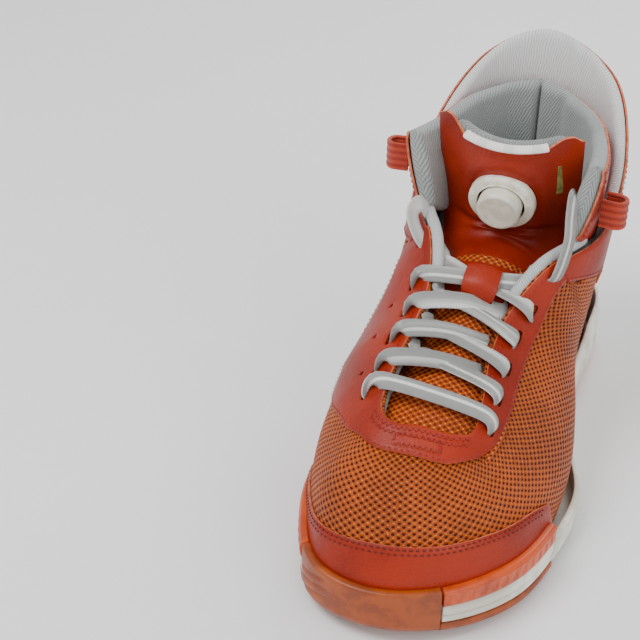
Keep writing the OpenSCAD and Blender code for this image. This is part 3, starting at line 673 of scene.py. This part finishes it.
def shell_line(t0, t1, height, off, n=160):
    t = np.linspace(t0, t1, n)
    u = height(t)
    return shell(t, u, off), shell_normal(t, u)


def sewn(name, paths, thread=None, body="shoe", slot="red_leather", **how):
    bm = bmesh.new()
    stitch(bm, paths, **how)
    return piece(name, bm, thread or red_thread, body, (), slot)


# ---------------------------------------------------------------- camera
cam_data = bpy.data.cameras.new("camera")
cam_data.lens, cam_data.sensor_width = 73.13, 36
cam = bpy.data.objects.new("camera", cam_data)
bpy.context.scene.collection.objects.link(cam)
bpy.context.scene.camera = cam
yaw, pitch, roll = (math.radians(x) for x in (21.2, 33.4, 0.5))
forward = Vector((-math.sin(yaw) * math.cos(pitch), math.cos(yaw) * math.cos(pitch), -math.sin(pitch)))
level_right = Vector((math.cos(yaw), math.sin(yaw), 0))
level_up = level_right.cross(forward)
right = level_right * math.cos(roll) + level_up * math.sin(roll)
up = level_up * math.cos(roll) - level_right * math.sin(roll)
turned = Matrix((right, up, -forward)).transposed().to_4x4()
turned.translation = Vector((118.1, -512.7, 422.9)) * MM + Vector(MIDDLE) * MM
cam.matrix_world = turned


# ---------------------------------------------------------------- lace
def lace_frames(per=7):
    line = open_at(LACE_ROUTE, np.linspace(0, len(LACE_ROUTE) - 1, per * (len(LACE_ROUTE) - 1) + 1))
    ahead = unit(np.gradient(line, axis=0))
    across = np.cross(ahead, LACE_LEAN)
    for i in range(1, len(across)):
        if across[i] @ across[i - 1] < 0:
            across[i] *= -1
    across = unit(across)
    for _ in range(3):
        across = unit(across + 0.5 * np.roll(across, 1, 0) + 0.5 * np.roll(across, -1, 0))
    across = unit(across - ahead * np.sum(across * ahead, 1)[:, None])
    return line, ahead, across


lace_line, lace_ahead, lace_across = lace_frames()
LACE_WIDTH, LACE_THICK = 8.2, 2.0


def lace_skin(a, b):
    k = np.clip(b * (len(lace_line) - 1), 0, len(lace_line) - 1)
    i = np.round(k).astype(int)
    angle = 2 * np.pi * a
    c, s = np.cos(angle), np.sin(angle)
    wide = np.sign(c) * np.abs(c) ** 0.85 * LACE_WIDTH / 2
    deep = np.sign(s) * np.abs(s) ** 0.8 * LACE_THICK / 2
    up_ = np.cross(lace_across, lace_ahead)
    return lace_line[i] + lace_across[i] * wide[:, None] + up_[i] * deep[:, None]


bm = weld(grid_mesh(20, len(lace_line) - 1, lace_skin, flip=True))
close_ends(bm)
flat_lace = piece("flat_lace", bm, lace_weave, "shoe", ["lace"], "lace_cotton")
lace_length = float(np.linalg.norm(np.diff(lace_line, axis=0), axis=1).sum()) * MM
[tuple(p) for p in (lace_line + MIDDLE) * MM]


def paint(node, look):
    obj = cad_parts[node]
    obj.data.materials.clear()
    obj.data.materials.append(look)


paint("lace_tips", tip_plastic)


# ---------------------------------------------------------------- sole
def wall_point(t, inset, z):
    p = round_at(FOOT, t) + outward(t) * (WALL_GAP + round_at(WALL, t)[..., 0] - inset)[..., None]
    g = ground(p[..., 1])
    z = g + np.asarray(z, float) * (WALL_TOP - g) / WALL_TOP
    return np.stack([p[..., 0], p[..., 1], z], -1)


def band(bm, t0, t1, cols, profile):
    """A closed strip of the sole wall; profile(t) gives inset and height round its section."""
    def place(a, b):
        t = t0 + (t1 - t0) * a
        out = np.zeros((len(a), 3))
        for value in np.unique(np.round(t, 9)):
            m = np.abs(t - value) < 1e-6
            line = profile(value)
            s = np.concatenate([[0], np.cumsum(np.linalg.norm(np.diff(line, axis=0), axis=1))])
            inset = np.interp(b[m] * s[-1], s, line[:, 0])
            z = np.interp(b[m] * s[-1], s, line[:, 1])
            out[m] = wall_point(t[m], inset, z)
        return out
    grow_grid(bm, cols, 64, place)
    weld(bm, 1e-7)


def rounded_profile(low, high, depth, lower_round=1.0, upper_round=1.2, bulge=0.0, n=10):
    """Section of a wall: up its outer face, over a rounded edge, and down its inner face."""
    z = np.linspace(low + lower_round, high - upper_round, n)
    h = (z - low) / (high - low)
    outer = np.stack([-bulge * np.sin(np.pi * h), z], 1)
    corner = lambda cx, cz, r, a0, a1: np.stack([cx - r * np.cos(np.linspace(a0, a1, 5)),
                                                 cz + r * np.sin(np.linspace(a0, a1, 5))], 1)
    top = corner(upper_round, high - upper_round, upper_round, 0, np.pi / 2)
    bottom = corner(lower_round, low + lower_round, lower_round, -np.pi / 2, 0)
    return np.vstack([bottom, outer, top, [[depth, high]], [[depth, low]], [[lower_round, low]]])


def toe_profile(t):
    line = rounded_profile(0, WALL_TOP, 3.7, 4.0, 1.2, 0.4, 24)
    if -1.5 < t < -0.5:
        share = np.exp(-((t + 0.98) / 0.3) ** 4)
        for k in range(3):
            middle = 8 + 6.0 * k + 14 * (t + 0.98)
            groove = np.exp(-((line[:, 1] - middle) / 0.9) ** 2) * (line[:, 0] < 1.5)
            line[:, 0] += 1.3 * share * groove
    return line


def low_profile(t):
    return rounded_profile(0, 6.5, 6.0, 3.4, 0.8, 0.2, 8)


bm = bmesh.new()
band(bm, -1.3, 0.9, 90, toe_profile)
band(bm, -3.95, -2.87, 30, toe_profile)
band(bm, -2.86, -1.31, 40, low_profile)
band(bm, 0.91, 2.93, 50, low_profile)
close_ends(bm)


def crossing(medial, lateral, b, inset, z):
    """A level skin between two places on the sole wall: b runs from the medial to the lateral side."""
    m, l = wall_point(-medial, inset, 0), wall_point(lateral, inset, 0)
    p = m + (l - m) * b[:, None]
    return np.stack([p[:, 0], p[:, 1], ground(p[:, 1]) + z], -1)


for z, flip in ((0.0, True), (4.6, False)):
    grow_grid(bm, 60, 30, lambda a, b: crossing(0.01 + 3.93 * a, 0.01 + 2.9 * a, b, 4.2, z), flip)
piece("forefoot_rubber_cup", bm, forefoot_rubber, "shoe", ["forefoot_outsole"], "forefoot_rubber")


def cushion_profile(t):
    line = rounded_profile(6.8, 18.0, 3.6, 1.6, 1.6, 0.5, 26)
    seam = np.exp(-((line[:, 1] - 12.2) / 0.45) ** 2) * (line[:, 0] < 1.6)
    line[:, 0] += 1.1 * seam
    return line



def clip_profile(t):
    line = rounded_profile(18.4, 29.2, 3.6, 1.4, 1.6, 0.6, 20)
    line[:, 0] -= 0.5
    wave = 0.5 + 0.5 * np.cos(t * 2 * np.pi / 0.16)
    frame_ = np.exp(-((line[:, 1] - 23.8) / 2.6) ** 4) * (line[:, 0] < 0.8)
    line[:, 0] += 0.55 * frame_ * (wave > 0.45)
    return line


for kind, cols, profile, look, slot in (("cushion_pods", 60, cushion_profile, white_foam, "white_foam"),
                                        ("clip_ribbed", 150, clip_profile, clip_plastic, "orange_clip")):
    for side, t0, t1 in (("lateral", 0.93, 2.9), ("medial", -2.85, -1.32)):
        bm = bmesh.new()
        band(bm, t0, t1, cols, profile)
        close_ends(bm)
        piece(f"{side}_{kind}", bm, look, "shoe", [f"{side}_{kind.split('_')[0]}"], slot)

HEEL_TOP = np.array([[-70, 17], [-30, 19], [10, 20], [50, 20], [90, 30], [130, 38], [170, 39]], float)


def heel_profile(t):
    y = float(round_at(FOOT, np.array(t))[1])
    top = float(np.interp(y, HEEL_TOP[:, 0], HEEL_TOP[:, 1]))
    line = rounded_profile(5.3, top, 3.2, 1.0, 1.8, 0.0, 44)
    outer = line[:, 0] < 1.0
    for k in range(4):
        line[:, 0] += 1.5 * outer * np.exp(-((line[:, 1] - (5.6 + 9.5 * k)) / 1.1) ** 2) * (k > 0)
    line[:, 0] += outer * 1.6 * np.clip((line[:, 1] - 29.3) / 4, 0, 1)
    return line


bm = bmesh.new()
band(bm, 2.95, 16.03, 310, heel_profile)
close_ends(bm)
for z, flip in ((5.4, True), (10.4, False)):
    grow_grid(bm, 60, 30, lambda a, b: crossing(3.98 + 6.01 * a, 2.98 + 7.01 * a, b, 3.0, z), flip)
piece("heel_and_side_foam", bm, white_foam, "shoe", ["heel_midsole"], "white_foam")

for node, look in (("heel_outsole", heel_rubber), ("midfoot_shank", dark_inside), ("forefoot_foam", white_foam),
                   ("strobel_board", board_felt)):
    paint(node, look)

bm = grid_mesh(80, 30, lambda a, b: crossing(0.02 + 9.96 * a, 0.02 + 9.96 * a, b, 13.0,
                                                  17.2 + 3.0 * (2 * b - 1) ** 4))
insole = piece("insole_sheet", bm, insole_cloth, "shoe", ["insole"], "insole_fabric")
thicken(insole, 3.5, 0.8)

# ---------------------------------------------------------------- upper
def mesh_top(t):
    t = np.mod(t, 20)
    return 1 - 0.2 * between(6.2, 6.4, t) * (1 - between(13.6, 13.8, t)) - 0.14 * between(7, 7.2, t) * (
        1 - between(12.8, 13, t))


bm = weld(grid_mesh(300, 44, lambda a, b: shell(20 * a, 0.004 + b * (mesh_top(20 * a) - 0.004), 0)))
vamp = piece("vamp_and_quarter_mesh", bm, upper_mesh, "shoe", ["mesh_upper", "toe_puff", "heel_counter"],
             "open_mesh")
thicken(vamp, 1.1, 0)

lining_top = lambda t: 1 - 0.36 * between(6.0, 6.6, np.mod(t, 20)) * (1 - between(13.4, 14.0, np.mod(t, 20)))
bm = weld(grid_mesh(160, 24, lambda a, b: shell(20 * a, 0.01 + b * (lining_top(20 * a) - 0.03), -3.0)))
bootie = piece("bootie_lining_cloth", bm, lining_knit, "shoe",
               ["vamp_lining", "lateral_lining", "medial_lining"], "lining_fabric")
thicken(bootie, 2.2, 0.5)


def edge_tuck(b, size=0.12, drop=0.6):
    """Presses a panel down along its sewn edges."""
    d = np.minimum(b, 1 - b)
    return -drop * (1 - between(0, size, d))


def panel(t0, t1, low, high, off, tuck=0.5):
    def place(a, b):
        t = t0 + (t1 - t0) * a
        lo, hi = low(t), high(t)
        side = -tuck * (1 - between(0, 0.02, np.minimum(a, 1 - a)))
        return shell(t, lo + (hi - lo) * b, off + edge_tuck(b, drop=tuck) + side)
    return place


constant = lambda value: (lambda t: np.full_like(np.asarray(t, float), value))
toe_cap_foot = edge_table([[-3.1, .06], [-2, .04], [-1, .015], [1, .015], [2, .05], [3.2, .08]])
toe_cap_panel = panel(-2.85, 3.0, toe_cap_foot, toe_cap_high, LEATHER_OFF)
leather_sheet("toe_cap_leather", 170, 24, lambda a, b: toe_cap_panel(a, b) + outward(-2.85 + 5.85 * a) * (
    1.1 * (1 - between(0.3, 0.7, b)))[:, None], ["toe_cap"])
sewn("toe_cap_stitches", [shell_line(-2.7, 2.85, lambda t: toe_cap_high(t) - 0.018, 1.75),
                          shell_line(-2.6, 2.75, lambda t: toe_cap_high(t) - 0.045, 1.85)], dark_thread,
     pitch=2.8, length=1.9, radius=0.42)

eyestay = leather_sheet("eyestay_leather", 300, 22,
                        panel(-6.25, 6.25, eyestay_low, constant(0.995), LEATHER_OFF), ["eyestay"])


def slot_matrix(t, u, off):
    t, u = np.array(t, float), np.array(u, float)
    n = shell_normal(t, u)
    along = unit(shell_point(t + 0.1, u) - shell_point(t - 0.1, u))
    side = unit(np.cross(n, along))
    along = np.cross(side, n)
    m = Matrix.Identity(4)
    for col, v in enumerate((along, side, n)):
        for row in range(3):
            m[row][col] = v[row]
    p = (shell(t, u, off) + MIDDLE) * MM
    m.translation = Vector(p)
    return m


def stadium(bm, length, width, height, matrix):
    """A rounded slot shape standing on its matrix."""
    verts = bmesh.ops.create_cone(bm, cap_ends=True, segments=24, radius1=width / 2 * MM,
                                  radius2=width / 2 * MM, depth=height * MM)["verts"]
    for v in verts:
        v.co.x += math.copysign((length - width) / 2 * MM, v.co.x)
        v.co = matrix @ v.co


def cut_out(objects, bm):
    """Takes the shapes in bm away from each of the objects."""
    cutter = piece("cutter", bm, dark_inside, None)
    for obj in objects:
        m = obj.modifiers.new("cut", "BOOLEAN")
        m.operation, m.object, m.solver = "DIFFERENCE", cutter, "EXACT"
        set_in_stone(obj)
    bpy.data.objects.remove(cutter)


bm = bmesh.new()
for t, u in LATERAL_EYELETS + MEDIAL_EYELETS:
    stadium(bm, SLOT_LENGTH, SLOT_WIDTH, 8, slot_matrix(t, u, 1.0))
for t, u in ((-3.2, .79), (-4.05, .78), (-4.85, .79)):
    bmesh.ops.create_cone(bm, cap_ends=True, segments=16, radius1=VENT_RADIUS * MM, radius2=VENT_RADIUS * MM,
                          depth=8 * MM, matrix=slot_matrix(t, u, 1.0))
bmesh.ops.recalc_face_normals(bm, faces=bm.faces)
cut_out([eyestay], bm)
eyestay.data.polygons.foreach_set("use_smooth", [True] * len(eyestay.data.polygons))

sewn("eyestay_edge_stitches", [
    shell_line(-6.1, -2.0, lambda t: eyestay_low(t) + 0.014, LEATHER_OFF),
    shell_line(1.9, 6.1, lambda t: eyestay_low(t) + 0.016, LEATHER_OFF),
    shell_line(-2.0, 1.9, lambda t: eyestay_low(t) + 0.016, LEATHER_OFF),
    shell_line(-6.0, -1.9, constant(0.965), LEATHER_OFF),
    shell_line(1.7, 6.0, constant(0.965), LEATHER_OFF),
], pitch=2.7, length=1.8, radius=0.36)
sewn("throat_zigzag", [
    shell_line(-1.9, 1.7, constant(0.965), 1.9),
    shell_line(-1.7, 1.5, constant(0.935), 1.9),
], pitch=1.3, length=2.2, radius=0.36, zig=1.9)

patch_at = lambda a, b: (-0.55 + 1.1 * a, 0.872 + 0.062 * b)
leather_sheet("vamp_tack_leather", 30, 14,
              lambda a, b: shell(*patch_at(a, b), 2.4 + edge_tuck(b, 0.2, 0.3)), ["vamp_tack_patch"],
              thick=0.8, bevel=0.25)
outline = [(-0.50, .878), (-0.3, .878), (0, .878), (.3, .878), (.5, .878), (.53, .903), (.5, .928),
           (.3, .928), (0, .928), (-.3, .928), (-.5, .928), (-.53, .903), (-.5, .878)]
sewn("tack_zigzag", [shell_path(outline, 2.5)], pitch=1.2, length=2.0, radius=0.34, zig=1.7)


lateral_ankle_low = edge_table([[6.0, .88], [6.8, .78], [7.3, .68]])
medial_ankle_low = edge_table([[12.7, .68], [13.2, .78], [14.0, .88]])
for side, t0, t1, low in (("lateral", 6.2, 7.2, lateral_ankle_low), ("medial", 12.8, 13.8, medial_ankle_low)):
    leather_sheet(f"{side}_ankle_leather", 50, 24, panel(t0, t1, low, constant(0.985), 1.72),
                  [f"{side}_ankle_patch"])
sewn("ankle_stitches", [shell_line(6.25, 7.15, lambda t: lateral_ankle_low(t) + 0.02, 1.8),
                        shell_line(12.85, 13.75, lambda t: medial_ankle_low(t) + 0.02, 1.8)], pitch=2.9)
leather_sheet("heel_panel_leather", 90, 24, panel(8.5, 11.5, constant(0.13), constant(0.62), 1.5),
              ["heel_panel"], "tan_leather", looks=[tan_leather, cut_edge])
leather_sheet("heel_flap_leather", 150, 28, panel(7.15, 12.85, constant(0.6), constant(1.0), LEATHER_OFF),
              ["heel_flap"])
sewn("heel_flap_stitches", [shell_line(7.25, 12.75, constant(0.635), 1.8),
                            shell_line(7.25, 12.75, constant(0.975), 1.9)], pitch=3.0)


def flap_place(a, b, off):
    t = 7.17 + 5.66 * a
    return shell(t, 0.66 + 0.345 * b, off)


def flap_inner(a, b):
    t = 7.17 + 5.66 * a
    wrinkle = 1.1 * bell(t, 9.35, 0.1) - 1.0 * bell(t, 9.52, 0.08) + 0.8 * bell(t, 9.7, 0.09)
    return -5.2 - 1.6 * np.sin(np.pi * b) + wrinkle * between(0.35, 0.7, b)


pillow("heel_flap_padding", 170, 40, flap_place, lambda a, b: 0.3 + 0 * a, flap_inner, flap_knit,
       ["flap_lining"], "flap_fabric", edge=0.09)


# ---------------------------------------------------------------- ankle collar
def collar_place(a, b, off):
    return collar(6 * a, -0.05 + 1.05 * b, off)


def collar_inner(a, b):
    s = 6 * a
    fold = 2.6 * bell(s, 3, 0.05) - 1.4 * bell(s, 2.78, 0.12) - 1.4 * bell(s, 3.24, 0.13)
    fold += 1.3 * bell(s, 2.5, 0.1) - 0.9 * bell(s, 2.3, 0.12) + 0.9 * bell(s, 3.6, 0.12)
    return -6.6 - 2.6 * np.sin(np.pi * np.clip(b, 0, 1)) + fold * between(0.05, 0.4, b)


pillow("ankle_collar_padding", 190, 44, collar_place, lambda a, b: 0.2 + 0 * a, collar_inner, collar_knit,
       ["collar_padding"], "collar_fabric", edge=0.07, side=0.035)


def wing(name, s0, s1, node, front):
    def place(a, b):
        s = s0 + (s1 - s0) * a
        ends = -0.9 * (1 - between(0, 0.05, (a if front == 0 else 1 - a)))
        return collar(s, 0.955 * b, LEATHER_OFF + edge_tuck(b, 0.1, 0.7) + ends)
    leather_sheet(name, 100, 26, place, [node])


wing("lateral_wing_leather", -0.03, 2.99, "lateral_collar_wing", 0)
wing("medial_wing_leather", 3.01, 6.03, "medial_collar_wing", 1)


def collar_row(s0, s1, u0, u1, off, n=120):
    s, u = np.linspace(s0, s1, n), np.linspace(u0, u1, n)
    p = collar(s, u, off)
    return p, unit(p - collar(s, u, off - 1))


sewn("wing_edge_stitches", [
    collar_row(0.12, 2.9, 0.91, 0.91, 1.8), collar_row(3.1, 5.88, 0.91, 0.91, 1.8),
    collar_row(0.1, 0.1, 0.06, 0.9, 1.8, 40), collar_row(5.9, 5.9, 0.06, 0.9, 1.8, 40),
], pitch=2.9)


def topline(name, t0, t1, node):
    """A soft roll of cloth along the top line."""
    def place(a, b):
        t = t0 + (t1 - t0) * a
        angle = 2 * np.pi * b
        centre = shell(t, 1.0, -3.4) + np.array([0, 0, 1.2])
        ahead = unit(shell(t + 0.02, 1.0, -3.4) - shell(t - 0.02, 1.0, -3.4))
        n = shell_normal(t, np.full_like(t, 0.98))
        side = np.cross(ahead, n)
        size = 2.9 * np.sqrt(np.clip(1 - (1 - np.clip(np.minimum(a, 1 - a) / 0.06, 0, 1)) ** 2, 0.02, 1))
        return centre + n * (np.cos(angle) * size)[:, None] + side * (np.sin(angle) * size)[:, None]
    bm = weld(grid_mesh(70, 18, place))
    close_ends(bm)
    obj = piece(name, bm, roll_knit, "shoe", [node], "collar_fabric")


topline("lateral_topline_cloth", 5.2, 6.75, "lateral_topline_roll")
topline("medial_topline_cloth", 13.3, 14.8, "medial_topline_roll")


# ---------------------------------------------------------------- webbing loops
def webbing_loop(name, place_at, turn, node):
    """A ribbed strap that leaves the wing, bends round and comes back."""
    reach, opening, strap, tall = 11.5, 5.0, 2.4, 15.0
    r = opening / 2 + strap / 2
    bend = reach - opening / 2 - strap

    def line(b):
        total = 2 * bend + np.pi * r
        d = b * total
        x, y = np.zeros_like(d), np.zeros_like(d)
        first, last = d < bend, d > bend + np.pi * r
        arc = ~first & ~last
        x[first], y[first] = d[first], -r
        x[last], y[last] = total - d[last], r
        w = (d[arc] - bend) / r - np.pi / 2
        x[arc], y[arc] = bend + r * np.cos(w), r * np.sin(w)
        return x, y

    c, s = math.cos(math.radians(turn)), math.sin(math.radians(turn))

    def place(a, b):
        x, y = line(b)
        rib = 0.35 * np.abs(np.sin(4 * np.pi * a))
        e = 0.005
        x2, y2 = line(np.clip(b + e, 0, 1))
        x1, y1 = line(np.clip(b - e, 0, 1))
        dx, dy = x2 - x1, y2 - y1
        n = np.hypot(dx, dy) + 1e-9
        x, y = x + (dy / n) * (rib + strap / 2), y - (dx / n) * (rib + strap / 2)
        z = tall * (0.02 + 0.96 * a)
        return np.stack([place_at[0] + c * x - s * y, place_at[1] + s * x + c * y, place_at[2] + z], -1)

    obj = piece(name, grid_mesh(32, 50, place, flip=True), webbing, "shoe", [node], "loop_webbing")
    thicken(obj, 2.0, 0.5)


webbing_loop("lateral_pull_loop", (47.2, 33, 126.5), -8, "lateral_loop")
webbing_loop("medial_pull_loop", (-49, 38, 134.5), 186, "medial_loop")

# ---------------------------------------------------------------- tongue
def base_place(a, b):
    s, v = 4.05 * b, 2 * a - 1
    rise = 6.0 * (1 - between(0.3, 1.8, s)) + 9.0 * v * v * (1 - between(2.6, 3.9, s))
    return tongue(s, v, rise + 0.6 * np.sin(np.pi * a))


base_cloth = piece("tongue_base_mesh", grid_mesh(40, 90, base_place), tongue_mesh, "shoe",
                   ["tongue_base"], "open_mesh")
thicken(base_cloth, 3.5, 0.6)


def tongue_top_at(v):
    side = np.where(np.asarray(v) < 0, 0.62, 0.36)
    return 8.92 + side * between(0.62, 0.9, np.abs(v)) - 0.3 * between(0.95, 1.1, np.abs(v))


def tongue_swell(a, v):
    """Folds above the keeper, and the way the leather sinks round the pump."""
    fold = 1.6 * bell(a, 5.35, 0.12) * bell(v, -0.1, 0.6) - 1.3 * bell(a, 5.62, 0.1) * bell(v, 0.2, 0.7)
    fold += 0.9 * bell(a + 0.35 * v, 5.05, 0.1) * bell(v, 0.3, 0.5)
    fold += 0.5 * np.sin(a * 7 + v * 5) * bell(a, 5.2, 0.5)
    ring = 1.0 * bell(np.hypot((a - 6.65) * 13.5, v * 32), 20, 4)
    return fold + ring


def tongue_face(a, v, off=0.0):
    return tongue(a, v, off + tongue_swell(a, v))


tongue_half = 1.1


def tongue_curl(s, v):
    """How the two upper corners of the leather roll forward."""
    return 1.6 * between(0.72, 1.1, np.abs(v)) * between(5.0, 8.8, s)




def leather_place(a, b):
    v = tongue_half * (2 * a - 1)
    s = 2.85 + (tongue_top_at(v) - 2.85) * b
    rise = 9.0 * v * v * (1 - between(2.6, 3.9, s)) + 1.5 * (1 - between(3.4, 4.0, s))
    return tongue_face(s, v, 0.15 + rise + tongue_curl(s, v))


tongue_skin = leather_sheet("tongue_leather_face", 70, 110, leather_place,
                            ["tongue_leather", "tongue_bladder"], body=None)
PUMP_BACK = np.array([0.4, 29, 131.0])

pad_at = lambda a, b: (4.05 + 4.9 * b, 0.97 * (2 * a - 1))
tongue_pad = pillow("tongue_foam_pad", 50, 90, lambda a, b, off: tongue(*pad_at(a, b), off),
                    lambda a, b: -1.4 + tongue_swell(*pad_at(a, b)) * 0.6, lambda a, b: -9.4 + 0 * a,
                    lining_knit, ["tongue_padding", "tongue_lining"], "lining_fabric", body=None,
                    edge=0.04, side=0.06)


def strip_place(a, b):
    v = 0.66 * (2 * a - 1)
    angle = np.pi * (b - 0.25)
    lift, over = 3.2 * np.sin(angle), 2.6 * np.cos(angle)
    return tongue(tongue_top_at(v) - 0.05 + lift * 0.045, v, 0.2 + over - 2.0)


leather_sheet("tongue_top_tape", 80, 18, strip_place, ["tongue_edge_strip"], "strip_tape", body="tongue",
              looks=[strip_tape, strip_tape], thick=0.6, bevel=0.2)


def tongue_row(knots, off, per=30):
    table = np.array(knots, float)
    line = open_at(table, np.linspace(0, len(table) - 1, per * (len(table) - 1) + 1))
    p = tongue_face(line[:, 0], line[:, 1], off)
    return p, unit(p - tongue_face(line[:, 0], line[:, 1], off - 1))


sewn("tongue_top_stitches", [
    tongue_row([(8.86, -.9), (8.78, -.7), (8.62, -.35), (8.58, 0), (8.62, .35), (8.75, .62)], 0.05),
    tongue_row([(8.74, -.9), (8.66, -.7), (8.5, -.35), (8.46, 0), (8.5, .35), (8.62, .62)], 0.05),
], dark_thread, body="tongue", pitch=2.6, length=1.9, radius=0.3)
bm = grid_mesh(6, 16, lambda a, b: tongue_face(6.9 + 1.2 * b, 0.79 + 0.09 * a, 0.5))
window = piece("bladder_window_film", bm, bladder_film, "tongue", ["bladder_window"], "bladder_film")
thicken(window, 0.4, 0.15)


def keeper_place(a, b):
    s = 2.7 + 0.95 * b
    v = 0.07 + 0.26 * (2 * a - 1) * (1 + 0.12 * np.abs(2 * b - 1) ** 3)
    lift = 9.0 * (1 - np.abs(2 * b - 1) ** 3.6)
    return tongue(s, v, 0.9 + lift + 0.3 * np.sin(np.pi * a))


leather_sheet("keeper_strap", 24, 60, keeper_place, ["lace_keeper"], thick=1.2)
sewn("keeper_zigzag", [tongue_row([(3.6, -.18), (3.6, .06), (3.6, .32)], 2.4)],
     pitch=1.2, length=2.0, radius=0.34, zig=1.8)

# ---------------------------------------------------------------- pump
tilt = Matrix.Translation(Vector((PUMP_BACK + MIDDLE) * MM)) @ Matrix.Rotation(math.radians(104), 4, "X")


def turned_piece(name, section, look, body, node, slot, stretch=1.0, extra=None):
    """A shape turned round the pump's axis from its half section [radius, height]."""
    bm = bmesh.new()
    verts = [bm.verts.new((r * MM, 0, z * MM)) for r, z in section]
    edges = [bm.edges.new(pair) for pair in zip(verts, verts[1:])]
    bmesh.ops.spin(bm, geom=verts + edges, cent=(0, 0, 0), axis=(0, 0, 1), angle=2 * math.pi, steps=72,
                   use_merge=True)
    weld(bm)
    if extra:
        extra(bm)
    bmesh.ops.recalc_face_normals(bm, faces=bm.faces)
    for v in bm.verts:
        v.co.x *= stretch
        v.co = tilt @ v.co
    obj = piece(name, bm, look, body, [node], slot)
    bevel = obj.modifiers.new("soft edge", "BEVEL")
    bevel.width, bevel.segments = 0.25 * MM, 2
    bevel.limit_method, bevel.angle_limit = "ANGLE", math.radians(35)


def ring_ridges(bm):
    for k in range(48):
        angle = 2 * math.pi * k / 48
        if 0.3 < angle < 2.9:
            place = Matrix.Rotation(angle, 4, "Z") @ Matrix.Translation((12.9 * MM, 0, 3.2 * MM))
            bmesh.ops.create_cube(bm, size=1, matrix=place @ Matrix.Diagonal((1.4 * MM, 0.4 * MM, 0.5 * MM, 1)))


turned_piece("pump_base_ring", [
    (10.9, -1.5), (10.9, 3.3), (11.1, 3.6), (11.5, 3.6), (11.8, 3.2), (13.9, 3.1),
    (14.7, 2.8), (15.1, 2.2), (15.2, 1.2), (15.2, -1.5), (10.9, -1.5),
], pump_plastic, "tongue", "pump_base", "pump_plastic", 32 / 30, ring_ridges)
turned_piece("pump_push_ball", [
    (0, 0), (10.5, 0), (10.5, 8.3), (10.2, 9.1), (9.6, 9.6), (8.8, 9.75), (8.3, 9.6), (4.5, 9.5), (0, 9.4),
], pump_rubber, "push_ball", "pump_ball", "pump_rubber")

# ---------------------------------------------------------------- well in the tongue for the push ball
# Room for the push ball to move into
bm = bmesh.new()
bmesh.ops.create_cone(bm, cap_ends=True, segments=64, radius1=WELL_RADIUS * MM, radius2=WELL_RADIUS * MM,
                      depth=40 * MM, matrix=tilt @ Matrix.Translation((0, 0, (20 - WELL_DEPTH) * MM)))
cut_out([tongue_skin, tongue_pad], bm)
for obj in (tongue_skin, tongue_pad):
    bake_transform(obj)

# ---------------------------------------------------------------- stage and light
bm = bmesh.new()
bmesh.ops.create_grid(bm, x_segments=1, y_segments=1, size=3)
floor = piece("floor", bm, plain("floor", (0.86, 0.86, 0.86), (0.88, 0.88, 0.88), 2.0, 0.7), None)
floor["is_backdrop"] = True


def soft_light(name, place, target, size, power):
    data = bpy.data.lights.new(name, "AREA")
    data.energy, data.shape, data.size = power, "DISK", size
    obj = bpy.data.objects.new(name, data)
    bpy.context.scene.collection.objects.link(obj)
    obj.location = place
    obj.rotation_euler = (Vector(target) - Vector(place)).to_track_quat("-Z", "Y").to_euler()
    obj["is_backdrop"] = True


for light in (("key", (-0.5, -0.5, 1.3), (0, 0, 0.08), 0.7, 14),
              ("fill", (1.0, -0.7, 0.8), (0, 0, 0.08), 1.0, 6),
              ("back", (0.2, 1.2, 1.0), (0, 0, 0.1), 0.8, 8)):
    soft_light(*light)
world = bpy.data.worlds.new("studio")
bpy.context.scene.world = world
world.use_nodes = True
world.node_tree.nodes["Background"].inputs["Color"].default_value = (1, 1, 1, 1)
world.node_tree.nodes["Background"].inputs["Strength"].default_value = 0.8

low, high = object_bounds()
{"cad": [list(cad_low), list(cad_high)], "visual": [list(low), list(high)]}
